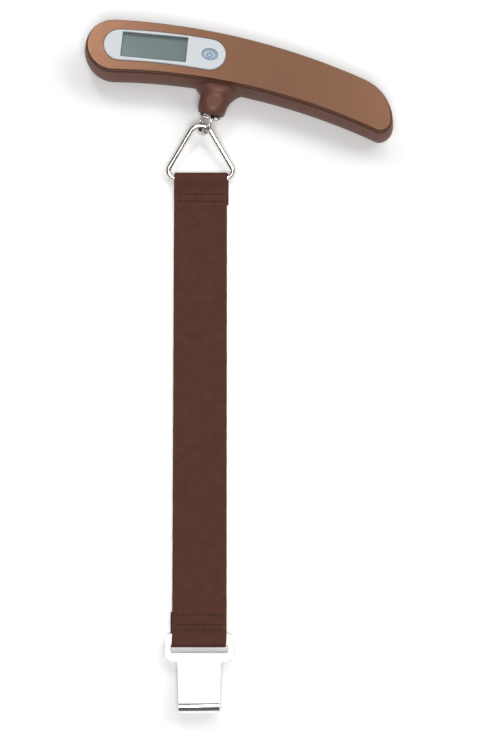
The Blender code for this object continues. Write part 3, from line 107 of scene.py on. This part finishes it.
# ---- Materials ----------------------------------------------------------------------------
class Surface:
    """A material with one principled shader and the noise that its finish is made of."""

    def __init__(self, name, colour, roughness, metallic=0.0, uv=False):
        self.material = bpy.data.materials.new(name)
        self.material.use_nodes = True
        self.tree = self.material.node_tree
        self.shader = self.tree.nodes["Principled BSDF"]
        self.colour = (*colour, 1.0)
        self.roughness = roughness
        self.set("Base Color", self.colour)
        self.set("Roughness", roughness)
        self.set("Metallic", metallic)
        self.place = self.tree.nodes.new("ShaderNodeTexCoord").outputs["UV" if uv else "Object"]
        self.height = None

    def set(self, socket, value):
        self.shader.inputs[socket].default_value = value

    def link(self, output, socket):
        self.tree.links.new(output, socket)

    def noise(self, size, detail=3.0, stretch=(1.0, 1.0, 1.0)):
        """Noise whose lumps are about this many metres across."""
        mapping = self.tree.nodes.new("ShaderNodeMapping")
        mapping.inputs["Scale"].default_value = [1 / (size * s) for s in stretch]
        self.link(self.place, mapping.inputs["Vector"])
        noise = self.tree.nodes.new("ShaderNodeTexNoise")
        noise.inputs["Scale"].default_value = 1.0
        noise.inputs["Detail"].default_value = detail
        self.link(mapping.outputs["Vector"], noise.inputs["Vector"])
        return noise.outputs["Fac"]

    def between(self, value, low, high):
        """The value 0.3 to 0.7, the usual reach of noise, spread over low to high."""
        spread = self.tree.nodes.new("ShaderNodeMapRange")
        ends = {"From Min": 0.3, "From Max": 0.7, "To Min": low, "To Max": high}
        for socket, number in ends.items():
            spread.inputs[socket].default_value = number
        self.link(value, spread.inputs["Value"])
        return spread.outputs["Result"]

    def shade(self, share):
        """Multiplies the colour by this share."""
        scaled = self.tree.nodes.new("ShaderNodeVectorMath")
        scaled.operation = "SCALE"
        scaled.inputs[0].default_value = self.colour[:3]
        self.link(share, scaled.inputs["Scale"])
        self.link(scaled.outputs["Vector"], self.shader.inputs["Base Color"])
        return self

    def mottle(self, size, amount):
        """Lets the colour wander by this share of itself."""
        return self.shade(self.between(self.noise(size), 1 - amount, 1 + amount))

    def polish(self, size, amount):
        """Lets the roughness wander by this amount."""
        spread = self.between(self.noise(size), self.roughness - amount, self.roughness + amount)
        self.link(spread, self.shader.inputs["Roughness"])
        return self

    def grain(self, size, depth, stretch=(1.0, 1.0, 1.0)):
        """Fine bumps of this depth in metres."""
        return self.bump(self.noise(size, 2.0, stretch), depth)

    def bump(self, height, depth):
        bump = self.tree.nodes.new("ShaderNodeBump")
        bump.inputs["Distance"].default_value = depth
        bump.inputs["Strength"].default_value = 1.0
        self.link(height, bump.inputs["Height"])
        if self.height:
            self.link(self.height, bump.inputs["Normal"])
        self.height = bump.outputs["Normal"]
        self.link(self.height, self.shader.inputs["Normal"])
        return self


def webbing():
    """Rows of slanting yarns across the strap, from texture coordinates in metres."""
    rib_pitch, row_pitch, slant = 0.78 * MM, 0.52 * MM, 0.16 * MM
    cloth = Surface("webbing", (0.082, 0.031, 0.021), 0.75, uv=True)
    cloth.set("Specular IOR Level", 0.15)
    split = cloth.tree.nodes.new("ShaderNodeSeparateXYZ")
    cloth.link(cloth.place, split.inputs[0])

    def maths(operation, first, second=None):
        node = cloth.tree.nodes.new("ShaderNodeMath")
        node.operation = operation
        for socket, value in zip(node.inputs, (first, second)):
            if isinstance(value, (int, float)):
                socket.default_value = value
            elif value is not None:
                cloth.link(value, socket)
        return node.outputs[0]

    def wave(value, pitch):
        return maths("SINE", maths("MULTIPLY", value, 2 * math.pi / pitch))

    across, along = split.outputs["X"], split.outputs["Y"]
    rib = maths("ABSOLUTE", wave(across, rib_pitch))
    row = wave(maths("ADD", along, maths("MULTIPLY", rib, slant)), row_pitch)
    yarn = maths("ADD", maths("MULTIPLY", rib, 0.6), maths("MULTIPLY", row, 0.25))
    cloth.bump(yarn, 0.10 * MM)
    cloth.bump(cloth.noise(0.35 * MM, 4.0), 0.05 * MM)
    wander = cloth.between(cloth.noise(5.0 * MM, 4.0), 0.90, 1.10)
    thread = cloth.between(cloth.noise(0.5 * MM, 2.0, (0.6, 3.0, 1.0)), 0.86, 1.14)
    # painted shade: the cloth's colour is darker in the grooves between the ribs and lighter on
    # their crests
    groove_shade = maths("ADD", maths("MULTIPLY", rib, 0.25), 0.86)
    cloth.shade(maths("MULTIPLY", maths("MULTIPLY", wander, thread), groove_shade))
    return cloth


COPPER = Surface("copper", (0.180, 0.089, 0.053), 0.30, 0.85).grain(1.6 * MM, 0.0015 * MM)
COPPER.mottle(2.5 * MM, 0.025).polish(6.0 * MM, 0.02)
CASING = Surface("dark_plastic", (0.125, 0.058, 0.043), 0.48, 0.3).grain(0.3 * MM, 0.006 * MM)
CASING.set("Specular IOR Level", 0.22)
CASING.set("Specular Tint", (1.0, 0.78, 0.70, 1.0))
CASING.mottle(0.15 * MM, 0.10).polish(8.0 * MM, 0.04)
BEZEL = Surface("bezel", (0.54, 0.57, 0.60), 0.42).grain(0.4 * MM, 0.004 * MM)
BEZEL.polish(5.0 * MM, 0.04)
LCD = Surface("lcd", (0.098, 0.148, 0.146), 0.32).mottle(7.0 * MM, 0.04).polish(3.0 * MM, 0.03)
REFLECTOR = Surface("reflector", (0.6, 0.61, 0.62), 0.35, 0.8).polish(2.0 * MM, 0.05)
RUBBER = Surface("conductive_rubber", (0.5, 0.36, 0.38), 0.8).grain(0.5 * MM, 0.03 * MM)
BUTTON = Surface("button", (0.36, 0.44, 0.52), 0.34).polish(2.0 * MM, 0.04)
BUTTON_MARK = Surface("button_mark", (0.035, 0.14, 0.32), 0.4).polish(1.0 * MM, 0.05)
BLACK = Surface("black_plastic", (0.02, 0.02, 0.02), 0.5).grain(0.4 * MM, 0.01 * MM)
BOARD = Surface("circuit_board", (0.02, 0.14, 0.06), 0.42).mottle(1.5 * MM, 0.08)
ALUMINIUM = Surface("aluminium", (0.72, 0.73, 0.74), 0.33, 1.0)
ALUMINIUM.grain(0.3 * MM, 0.01 * MM, (12.0, 1.0, 1.0))
SEAL = Surface("gauge_seal", (0.78, 0.78, 0.74), 0.5).grain(1.5 * MM, 0.1 * MM)
STEEL = Surface("steel", (0.60, 0.60, 0.61), 0.28, 1.0).polish(1.5 * MM, 0.07)
CONTACT = Surface("contact_metal", (0.72, 0.62, 0.44), 0.3, 1.0).polish(1.5 * MM, 0.06)
WHITE_WIRE = Surface("white_wire", (0.75, 0.75, 0.73), 0.5).grain(1.0 * MM, 0.02 * MM)
RED_WIRE = Surface("red_wire", (0.5, 0.03, 0.03), 0.45).grain(1.0 * MM, 0.02 * MM)
BLACK_WIRE = Surface("black_wire", (0.02, 0.02, 0.02), 0.45).grain(1.0 * MM, 0.02 * MM)
NICKEL = Surface("nickel", (0.93, 0.915, 0.89), 0.08, 1.0).polish(4.0 * MM, 0.03)
WIRE = Surface("bright_wire", (0.70, 0.665, 0.61), 0.16, 1.0).polish(3.0 * MM, 0.03)
CLOTH = webbing()
THREAD = Surface("thread", (0.012, 0.005, 0.004), 0.8).grain(0.15 * MM, 0.03 * MM)


def clear_window():
    """Clear plastic: nearly all of the light goes straight through."""
    material = bpy.data.materials.new("window")
    material.use_nodes = True
    tree = material.node_tree
    tree.nodes.clear()
    out = tree.nodes.new("ShaderNodeOutputMaterial")
    mix = tree.nodes.new("ShaderNodeMixShader")
    through = tree.nodes.new("ShaderNodeBsdfTransparent")
    through.inputs["Color"].default_value = (0.95, 0.97, 0.97, 1.0)
    gloss = tree.nodes.new("ShaderNodeBsdfGlossy")
    facing = tree.nodes.new("ShaderNodeLayerWeight")
    facing.inputs["Blend"].default_value = 0.15
    share = tree.nodes.new("ShaderNodeMapRange")
    share.inputs["To Min"].default_value = 0.04
    share.inputs["To Max"].default_value = 0.5
    place = tree.nodes.new("ShaderNodeTexCoord")
    noise = tree.nodes.new("ShaderNodeTexNoise")
    noise.inputs["Scale"].default_value = 120.0
    haze = tree.nodes.new("ShaderNodeMapRange")
    haze.inputs["To Min"].default_value = 0.04
    haze.inputs["To Max"].default_value = 0.10
    link = tree.links.new
    link(place.outputs["Object"], noise.inputs["Vector"])
    link(noise.outputs["Fac"], haze.inputs["Value"])
    link(haze.outputs["Result"], gloss.inputs["Roughness"])
    link(facing.outputs["Facing"], share.inputs["Value"])
    link(share.outputs["Result"], mix.inputs["Fac"])
    link(through.outputs["BSDF"], mix.inputs[1])
    link(gloss.outputs["BSDF"], mix.inputs[2])
    link(mix.outputs["Shader"], out.inputs["Surface"])
    return material


FINISHES = {
    "front_panel": COPPER,
    "rear_casing": CASING,
    "battery_cover": CASING,
    "display_bezel": BEZEL,
    "lcd_glass": LCD,
    "lcd_reflector": REFLECTOR,
    "switch_body": REFLECTOR,
    "zebra_connector": RUBBER,
    "button_cap": BUTTON,
    "switch_plunger": BLACK,
    "controller_chip": BLACK,
    "battery_holder": BLACK,
    "main_board": BOARD,
    "load_cell": ALUMINIUM,
    "strain_gauge_upper": SEAL,
    "strain_gauge_lower": SEAL,
    "contact_positive": CONTACT,
    "contact_negative": CONTACT,
    "gauge_leads": WHITE_WIRE,
    "battery_wire_positive": RED_WIRE,
    "battery_wire_negative": BLACK_WIRE,
    "load_ring": WIRE,
    "triangle_ring": WIRE,
    "hook_clip": NICKEL,
}


def paint(node, material):
    node.data.materials.clear()
    node.data.materials.append(material)


for name, node in NODES.items():
    if name.startswith("strap"):
        paint(node, CLOTH.material)
    elif name != "window_lens":
        paint(node, FINISHES.get(name, STEEL).material)
paint(NODES["window_lens"], clear_window())


# ---- Rounded edges on the moulded and pressed pieces --------------------------------------
def soften(name, width, segments=3):
    """Joins the faces of the node up and rounds its sharp edges a little."""
    node = NODES[name]
    weld = node.modifiers.new("weld", "WELD")
    weld.merge_threshold = 0.02 * MM
    bevel = node.modifiers.new("round", "BEVEL")
    bevel.width = width
    bevel.segments = segments
    bevel.limit_method = "ANGLE"
    bevel.angle_limit = math.radians(38.0)
    node.data.shade_smooth()
    normals = node.modifiers.new("normals", "WEIGHTED_NORMAL")
    normals.keep_sharp = False


soften("hook_clip", 0.34 * MM, 4)
soften("display_bezel", 0.10 * MM)
soften("front_panel", 0.10 * MM)
soften("rear_casing", 0.15 * MM, 2)
soften("battery_cover", 0.15 * MM, 2)


# ---- Mesh building ------------------------------------------------------------------------
def make_object(name, mesh, surface):
    """A new object from the mesh, shaded smooth apart from its sharp edges."""
    data = bpy.data.meshes.new(name)
    bmesh.ops.recalc_face_normals(mesh, faces=mesh.faces)
    mesh.to_mesh(data)
    mesh.free()
    data.shade_smooth()
    data.set_sharp_from_angle(angle=math.radians(40.0))
    data.materials.append(surface.material)
    made = bpy.data.objects.new(name, data)
    bpy.context.scene.collection.objects.link(made)
    return made


def bridge(mesh, loops, closed=False):
    """Joins each loop of corners to the next one, and caps the two ends if it isn't closed."""
    following = loops[1:] + loops[:1] if closed else loops[1:]
    for lower, upper in zip(loops, following):
        for i, corner in enumerate(lower):
            j = (i + 1) % len(lower)
            mesh.faces.new((corner, lower[j], upper[j], upper[i]))
    if not closed:
        mesh.faces.new(loops[0][::-1])
        mesh.faces.new(loops[-1])


def tube(mesh, path, radius, steps=12, closed=False, taper=()):
    """A round wire along a path of vectors. taper gives shares of the radius for the first
    points, and the same for the last ones."""
    count = len(path)
    up = None
    loops = []
    for i, point in enumerate(path):
        before = path[(i - 1) % count] if closed or i else point
        after = path[(i + 1) % count] if closed or i < count - 1 else point
        along = (after - before).normalized()
        if up is None:
            up = Vector((0.0, 0.0, 1.0)) if abs(along.z) < 0.9 else Vector((0.0, 1.0, 0.0))
        across = along.cross(up).normalized()
        up = across.cross(along).normalized()
        near_end = min(i, count - 1 - i)
        size = radius * (taper[near_end] if near_end < len(taper) else 1.0)
        turns = [2 * math.pi * k / steps for k in range(steps)]
        ring = [point + (across * math.cos(t) + up * math.sin(t)) * size for t in turns]
        loops.append([mesh.verts.new(corner) for corner in ring])
    bridge(mesh, loops, closed)


def arc(centre, radius, start, end, steps):
    """Points along a circle, from one angle to another in degrees."""
    angles = [math.radians(start + (end - start) * i / steps) for i in range(steps + 1)]
    return [(centre[0] + radius * math.cos(a), centre[1] + radius * math.sin(a)) for a in angles]


def belt(circles, steps):
    """The closed path of a belt laid round circles, each (x, y, radius), counter-clockwise."""
    path = []
    for i, (x, y, radius) in enumerate(circles):
        normals = []
        for a, b in ((circles[i - 1], circles[i]), (circles[i], circles[(i + 1) % len(circles)])):
            dx, dy = b[0] - a[0], b[1] - a[1]
            angle = math.atan2(dy, dx) - math.acos((a[2] - b[2]) / math.hypot(dx, dy))
            normals.append(math.degrees(angle))
        start, end = normals
        while end < start:
            end += 360.0
        path.extend(arc((x, y), radius, start, end, steps))
    return path


# ---- Split load ring ----------------------------------------------------------------------
def make_split_ring():
    """Two turns of flattened wire side by side, crossing over between the wire's two ends."""
    half_axial, half_radial, edge = 0.53 * MM, 0.76 * MM, 0.28 * MM
    turns, first_end = 1.94, 1.9  # turns of wire, and the angle in radians where it starts
    offset, crossing = 0.60 * MM, 0.16  # each turn's shift sideways, over this share of a turn
    blunt_end = 0.72  # share of the wire's size that is left at each end
    steps = 150
    place = GRIP @ Matrix.Translation(RING_CENTRE) @ Matrix.Rotation(RING_LEAN, 4, "Y")
    section = []
    for sx, sy, start in ((1, 1, 0), (-1, 1, 90), (-1, -1, 180), (1, -1, 270)):
        corner = (sx * (half_axial - edge), sy * (half_radial - edge))
        section.extend(arc(corner, edge, start, start + 90, 4))
    mesh = bmesh.new()
    loops = []
    for i in range(steps + 1):
        turned = turns * i / steps
        angle = first_end + turned * 2 * math.pi
        shift = offset * math.tanh((turned - turns / 2) / crossing)
        size = blunt_end if i in (0, steps) else 1.0
        out = Vector((0.0, math.cos(angle), math.sin(angle)))
        loop = []
        for a, b in section:
            point = out * (RING_RADIUS + b * size) + Vector((shift + a * size, 0.0, 0.0))
            loop.append(mesh.verts.new(place @ point))
        loops.append(loop)
    bridge(mesh, loops)
    ring = make_object("split_ring", mesh, WIRE)
    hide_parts("load_ring")
    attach(ring, "ring")


# ---- Triangle ring ------------------------------------------------------------------------
def make_triangle():
    """Round wire bent to a triangle, and the weld bead where its ends meet in the strap's loop."""
    rise = TRIANGLE_APEX[1] - TRIANGLE_BAR[1]
    run = TRIANGLE_APEX[0] - TRIANGLE_BAR[0]
    length = math.hypot(rise, run)
    apex, corner, bead_swell = 5.5 * MM, 3.5 * MM, 0.12 * MM
    reach = (TRIANGLE_WIDTH - TRIANGLE_WIRE) / 2 - corner
    foot = corner - length
    outline = belt([(0.0, -apex, apex), (-reach, foot, corner), (reach, foot, corner)], 18)
    slope = Matrix.Rotation(math.atan2(rise, run), 4, "X")
    place = Matrix.Translation((STRAP_X, *TRIANGLE_APEX)) @ slope
    mesh = bmesh.new()
    path = [place @ Vector((x, y, 0.0)) for x, y in outline]
    tube(mesh, path, TRIANGLE_WIRE / 2, 28, closed=True)
    ring = make_object("wire_triangle", mesh, WIRE)
    bead = bmesh.new()
    path = [place @ Vector((x * MM, -length, 0.0)) for x in (-0.9, -0.5, 0.0, 0.5, 0.9)]
    tube(bead, path, TRIANGLE_WIRE / 2 + bead_swell, 20, taper=(0.90, 0.98))
    weld = make_object("triangle_weld", bead, WIRE)
    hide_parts("triangle_ring")
    for piece in (ring, weld):
        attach(piece, "triangle")


# ---- Strap --------------------------------------------------------------------------------
def smooth_step(t):
    t = min(max(t, 0.0), 1.0)
    return t * t * (3 - 2 * t)


def cubic(start, end, slopes, t):
    """The point at share t of the cubic between two (y, z) points with these end slopes."""
    run = end[0] - start[0]
    z = (2 * t**3 - 3 * t**2 + 1) * start[1] + (-2 * t**3 + 3 * t**2) * end[1]
    z += ((t**3 - 2 * t**2 + t) * slopes[0] + (t**3 - t**2) * slopes[1]) * run
    return (start[0] + run * t, z)


def top_layer(y):
    """Height of the strap's middle line where it lies flat: raised over each hem's tail."""
    ramp = 4.2 * MM
    ramp_down, ramp_up = TOP_HEM_END + 0.3 * MM, BOTTOM_HEM_END + 4.6 * MM
    down, up = smooth_step((ramp_down - y) / ramp), smooth_step((ramp_up - y) / ramp)
    return HIGH - (HIGH - LOW) * (down - up)


def spread(start, end, step):
    """Evenly spread values from start to end, about this step apart."""
    count = max(1, round(abs(end - start) / step))
    return [start + (end - start) * i / count for i in range(count + 1)]


def top_loop():
    """The middle line of the top hem's tail and of the loop round the triangle's bar."""
    bar = TRIANGLE_BAR
    radius = TRIANGLE_WIRE / 2 + CLOTH_GAP + LAYER / 2
    leave = math.tan(math.radians(20.0))  # slope at which the cloth comes off the bar
    points = [(y, LOW, "tail") for y in spread(TOP_HEM_END, bar[0], LINE_STEP)[:-1]]
    points += [(y, z, "fold") for y, z in arc(bar, radius, 270.0, 470.0, 30)]
    top = points[-1]
    for i in range(1, 11):
        t = i / 10
        y = top[0] + (TOP_LOOP_END - top[0]) * t
        lean = top[1] - (top[0] - y) * leave * (1 - t)
        blend = smooth_step(t)
        points.append((y, lean * (1 - blend) + HIGH * blend, "fold"))
    return points


def at_hook_bar(y, z):
    """A place on the leaning plate of the hook, measured from the middle of its bar."""
    cos, sin = math.cos(-HOOK_LEAN), math.sin(-HOOK_LEAN)
    return (HOOK_BAR[0] + y * cos - z * sin, HOOK_BAR[1] + y * sin + z * cos)


def bottom_loop():
    """The middle line of the loop round the hook's bar and of the bottom hem's tail."""
    half = HOOK_BAR_WIDTH / 2 + 0.45 * MM  # with the play that the loop has on the bar
    radius = HOOK_SHEET / 2 + CLOTH_GAP + LAYER / 2
    tail_lift, tail_flat = radius - half + 0.5 * MM, HOOK_BAR[0] + 3.6 * MM
    slope = math.tan(-HOOK_LEAN)
    start, end = (FLAT_END, HIGH), at_hook_bar(half - radius, radius)
    points = [(*cubic(start, end, (0.0, slope), i / 9), "upper") for i in range(1, 9)]
    for y in spread(half - radius, radius - half, LINE_STEP):
        points.append((*at_hook_bar(y, radius), "upper"))
    for y, z in arc((radius - half, 0.0), radius, 90.0, 270.0, 24)[1:]:
        points.append((*at_hook_bar(y, z), "fold"))
    start, end = at_hook_bar(tail_lift, -radius), (tail_flat, LOW)
    points += [(*cubic(start, end, (slope, 0.0), i / 8), "tail") for i in range(9)]
    points += [(y, LOW, "tail") for y in spread(tail_flat, BOTTOM_HEM_END, LINE_STEP)[1:]]
    return points


def strap_line():
    """The strap's middle line in (y, z), from the tail of the top hem to the tail of the
    bottom one, with the layer that each point is in: tail, fold or upper."""
    flat = spread(TOP_LOOP_END, FLAT_END, LINE_STEP)[1:]
    return top_loop() + [(y, top_layer(y), "upper") for y in flat] + bottom_loop()


def strap_section():
    """The cloth's outline as (x, side). side is 1 on one face, -1 on the other, and goes
    from one to the other round the edges."""
    edge, columns = 0.34 * MM, 42
    flat = STRAP_HALF - edge
    flats = [-flat + 2 * flat * i / columns for i in range(columns + 1)]
    turns = [math.radians(angle) for angle in (30, 60, 90, 120, 150)]
    section = [(x, 1.0) for x in flats]
    section += [(flat + edge * math.sin(t), math.cos(t)) for t in turns]
    section += [(x, -1.0) for x in reversed(flats)]
    section += [(-flat - edge * math.sin(t), -math.cos(t)) for t in turns]
    return section


def strap_cuts(line):
    """Where along the line each piece of the strap starts, and where the last one ends."""
    places = [(a + b) / 2 for a, b in zip(FLEX, [*FLEX[1:], BOTTOM_HEM_END])]
    upper = [i for i, point in enumerate(line) if point[2] == "upper"]
    cuts = [min(upper, key=lambda i: abs(line[i][0] - place)) for place in places]
    return [0, *cuts, len(line) - 1]


def sink(y, layer, x):
    """How far the stitching pulls the cloth's faces in, at a place on a hem."""
    if layer == "fold":
        return 0.0
    rows = TOP_STITCHES + BOTTOM_STITCHES
    depth = sum(math.exp(-(((y - row) / DENT_WIDTH) ** 2)) for row in rows)
    pucker = 0.75 + 0.25 * math.cos(2 * math.pi * x / STITCH_PITCH)
    return DENT_DEPTH * depth * pucker


def cloth_ring(line, i, distance, total):
    """The corners of the cloth at point i of its line, and their texture coordinates."""
    y, z, layer = line[i]
    before, after = line[max(i - 1, 0)], line[min(i + 1, len(line) - 1)]
    along = Vector((after[0] - before[0], after[1] - before[1])).normalized()
    normal = Vector((-along.y, along.x))
    if i < len(line) / 2 and layer == "tail":
        normal = Vector((0.0, -1.0))  # the top hem's tail is turned over
    # the line moves over to each tail on its way round the loop
    shift = TAIL_ASIDE * (1 - smooth_step((distance - 10.0 * MM) / (12.0 * MM)))
    shift -= TAIL_ASIDE * smooth_step((distance - total + 24.0 * MM) / (13.0 * MM))
    waver, unevenness = 0.07 * MM, 0.03 * MM  # of the edges and of one face
    corners, coordinates = [], []
    for x, side in strap_section():
        beat = math.sin(distance / (3.1 * MM) + x * 90)
        wave = waver * math.sin(distance / (5.3 * MM)) * beat * abs(x) / STRAP_HALF
        rise = unevenness * math.sin(distance / (4.1 * MM) + 130 * x) * math.sin(x * 310)
        pull = sink(y, layer, x) if abs(side) > 0.5 else 0.0
        out = LAYER / 2 * side - math.copysign(pull, side)
        if layer == "upper" and side > 0:
            out += rise
        across = STRAP_X + x + shift + math.copysign(wave, x)
        corners.append((across, y + normal.x * out, z + normal.y * out))
        coordinates.append((x, distance))
    return corners, coordinates


# each piece of the strap: the body that it starts on, how far its bend reaches before and
# after its hinge in millimetres, and the nodes that it stands for
STRAP_PIECES = [
    ("strap_top", 3.0, 6.0, ["strap_top_loop"]),
    ("strap_1", 8.0, 8.0, ["strap_segment_1"]),
    ("strap_2", 8.0, 8.0, ["strap_segment_2"]),
    ("strap_3", 8.0, 8.0, ["strap_segment_3"]),
    ("strap_4", 8.0, 8.0, ["strap_segment_4"]),
    ("strap_5", 6.0, 5.0, ["strap_segment_5"]),
    ("strap_bottom", 1.6, 1.6, ["strap_bottom_hem", "strap_bottom_loop"]),
]


def make_strap():
    """The strap's cloth, one piece for each hinge."""
    line = strap_line()
    lengths = [0.0]
    for a, b in zip(line, line[1:]):
        lengths.append(lengths[-1] + math.hypot(b[0] - a[0], b[1] - a[1]))
    cuts = strap_cuts(line)
    for k, (body, lead, trail, nodes) in enumerate(STRAP_PIECES):
        mesh = bmesh.new()
        loops, places = [], []
        for i in range(cuts[k], cuts[k + 1] + 1):
            corners, coordinates = cloth_ring(line, i, lengths[i], lengths[-1])
            loops.append([mesh.verts.new(corner) for corner in corners])
            places += coordinates
        bridge(mesh, loops)
        mesh.verts.index_update()
        strap = make_object(f"strap_{k + 1}_cloth", mesh, CLOTH)
        uv = strap.data.uv_layers.new(name="cloth")
        for loop in strap.data.loops:
            uv.data[loop.index].uv = places[loop.vertex_index]
        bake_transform(strap)
        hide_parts(*nodes)


def stitch_path(x, y, sway, face):
    """One stitch across the strap, on its upper face or, where face is -1, its lower one."""
    half = 0.40 * STITCH_PITCH
    arch, ends_sunk = 0.20 * MM, 0.16 * MM
    upper, lower = HIGH + LAYER / 2 - 0.14 * MM, LOW - LAYER / 2 + 0.27 * MM
    surface = upper if face > 0 else lower
    path = []
    for t in spread(-1.0, 1.0, 0.25):
        lift = arch * (1 - t**4) - ends_sunk
        path.append(Vector((x + half * t, y + sway * t, surface + face * lift)))
    return path


def make_stitches():
    """Lock stitches through both layers of each hem, seen from above and from below."""
    count = int(2 * (STRAP_HALF - STITCH_MARGIN) / STITCH_PITCH)
    hems = (("top", TOP_STITCHES, "strap_top"), ("bottom", BOTTOM_STITCHES, "strap_bottom"))
    for label, rows, body in hems:
        mesh = bmesh.new()
        for number, row in enumerate(rows):
            for face in (1.0, -1.0):
                for i in range(count):
                    x = STRAP_X + (i - (count - 1) / 2) * STITCH_PITCH
                    sway = 0.10 * MM * math.sin(7.3 * i + 2.1 * number + face)
                    path = stitch_path(x, row, sway, face)
                    tube(mesh, path, STITCH_RADIUS, 8, taper=(0.55, 0.85))
        thread = make_object(f"{label}_stitching", mesh, THREAD)
        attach(thread, body)


# ---- Mark on the button -------------------------------------------------------------------
def on_dish(x, y):
    """Height of the middle of a printed line in the button's dish, from the button's rim."""
    length, width, depth = BUTTON_DISH
    inside, above_dish, near_rim = 0.86, 0.02 * MM, -0.05 * MM
    share = math.hypot(x / length, y / width)
    return above_dish - depth * (1 - share**2) if share < inside else near_rim


def make_button_mark():
    """A line round the dish and the usual power sign: a broken circle with a bar."""
    turn = Matrix.Rotation(-BUTTON_CENTRE / SPINE_RADIUS, 4, "Z")
    place = GRIP @ Matrix.Translation((*bend(BUTTON_CENTRE, 0.0), BUTTON_RIM)) @ turn
    circle = arc((0.0, -0.15 * MM), 1.15 * MM, 125.0, 415.0, 30)
    bar = [(0.0, y * MM) for y in (1.35, 1.1, 0.8, 0.5, 0.25)]
    turns = [2 * math.pi * i / 48 for i in range(48)]
    oval = [(3.0 * MM * math.cos(t), 2.15 * MM * math.sin(t)) for t in turns]
    mesh = bmesh.new()
    strokes = ((circle, 0.20, False), (bar, 0.20, False), (oval, 0.15, True))
    for points, radius, closed in strokes:
        path = [place @ Vector((x, y, on_dish(x, y))) for x, y in points]
        tube(mesh, path, radius * MM, 8, closed=closed)
    mark = make_object("button_mark", mesh, BUTTON_MARK)
    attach(mark, "button")


make_split_ring()
make_triangle()
make_strap()
make_stitches()
make_button_mark()


# ---- Floor, light and camera --------------------------------------------------------------
SKY_LEAN = math.radians(38.0)  # the bright part of the studio leans away from the camera
SKY_STRENGTH = 1.12
SKY_STOPS = ((0.0, 0.11), (0.45, 0.12), (0.88, 0.22), (0.99, 1.0))
STRAP_MIDDLE = (0.0, -0.13, 0.0)
VIEW_CENTRE = Vector((0.0085, -0.1456, 0.0))
VIEW_DISTANCE = 2.0
VIEW_TILT = math.radians(15.9)


def make_floor():
    """A plain matt floor just under the part."""
    material = bpy.data.materials.new("floor")
    material.use_nodes = True
    shader = material.node_tree.nodes["Principled BSDF"]
    shader.inputs["Base Color"].default_value = (0.93, 0.93, 0.93, 1.0)
    shader.inputs["Roughness"].default_value = 0.9
    shader.inputs["Specular IOR Level"].default_value = 0.0
    mesh = bmesh.new()
    bmesh.ops.create_grid(mesh, x_segments=1, y_segments=1, size=3.0)
    data = bpy.data.meshes.new("floor")
    mesh.to_mesh(data)
    mesh.free()
    data.materials.append(material)
    floor = bpy.data.objects.new("floor", data)
    floor.location.z = -0.2 * MM
    bpy.context.scene.collection.objects.link(floor)


def make_sky():
    """A grey studio with one bright part high up, where the polished metal sees it."""
    world = bpy.data.worlds.new("studio")
    bpy.context.scene.world = world
    world.use_nodes = True
    sky = world.node_tree
    background = sky.nodes["Background"]
    coordinate = sky.nodes.new("ShaderNodeTexCoord")
    height = sky.nodes.new("ShaderNodeVectorMath")
    height.operation = "DOT_PRODUCT"
    height.inputs[1].default_value = (0.0, math.sin(SKY_LEAN), math.cos(SKY_LEAN))
    ramp = sky.nodes.new("ShaderNodeValToRGB")
    ramp.color_ramp.interpolation = "EASE"
    while len(ramp.color_ramp.elements) < len(SKY_STOPS):
        ramp.color_ramp.elements.new(0.5)
    for element, (position, level) in zip(ramp.color_ramp.elements, SKY_STOPS):
        element.position = position
        element.color = (level, level * 0.995, level * 0.985, 1.0)
    sky.links.new(coordinate.outputs["Generated"], height.inputs[0])
    sky.links.new(height.outputs["Value"], ramp.inputs["Fac"])
    sky.links.new(ramp.outputs["Color"], background.inputs["Color"])
    background.inputs["Strength"].default_value = SKY_STRENGTH


def softbox(name, place, target, side, power):
    """A square lamp that faces the target."""
    data = bpy.data.lights.new(name, "AREA")
    data.shape = "RECTANGLE"
    data.size = data.size_y = side
    data.energy = power
    lamp = bpy.data.objects.new(name, data)
    bpy.context.scene.collection.objects.link(lamp)
    lamp.location = place
    lamp.rotation_euler = (Vector(target) - Vector(place)).to_track_quat("-Z", "Y").to_euler()


def make_camera():
    """A camera above the strap and a little towards the hook's end, looking down at the part."""
    data = bpy.data.cameras.new("camera")
    data.sensor_width = 36.0
    data.lens = 208.96
    data.clip_end = 20.0
    camera = bpy.data.objects.new("camera", data)
    bpy.context.scene.collection.objects.link(camera)
    toward = Vector((0.0, -math.sin(VIEW_TILT), math.cos(VIEW_TILT)))
    camera.location = VIEW_CENTRE + VIEW_DISTANCE * toward
    camera.rotation_euler = (VIEW_TILT, 0.0, 0.0)
    bpy.context.scene.camera = camera


make_floor()
make_sky()
softbox("key", (-0.16, 0.25, 0.62), (-0.07, 0.02, 0.0), 0.13, 0.64)
softbox("kicker", (0.22, 0.22, 0.62), (0.07, 0.0, 0.0), 0.16, 0.48)
softbox("front", (0.0, -1.02, 2.1), STRAP_MIDDLE, 0.8, 32.0)
softbox("right", (1.1, 0.25, 1.3), STRAP_MIDDLE, 0.9, 8.0)
make_camera()
bpy.context.scene.view_settings.view_transform = "Standard"
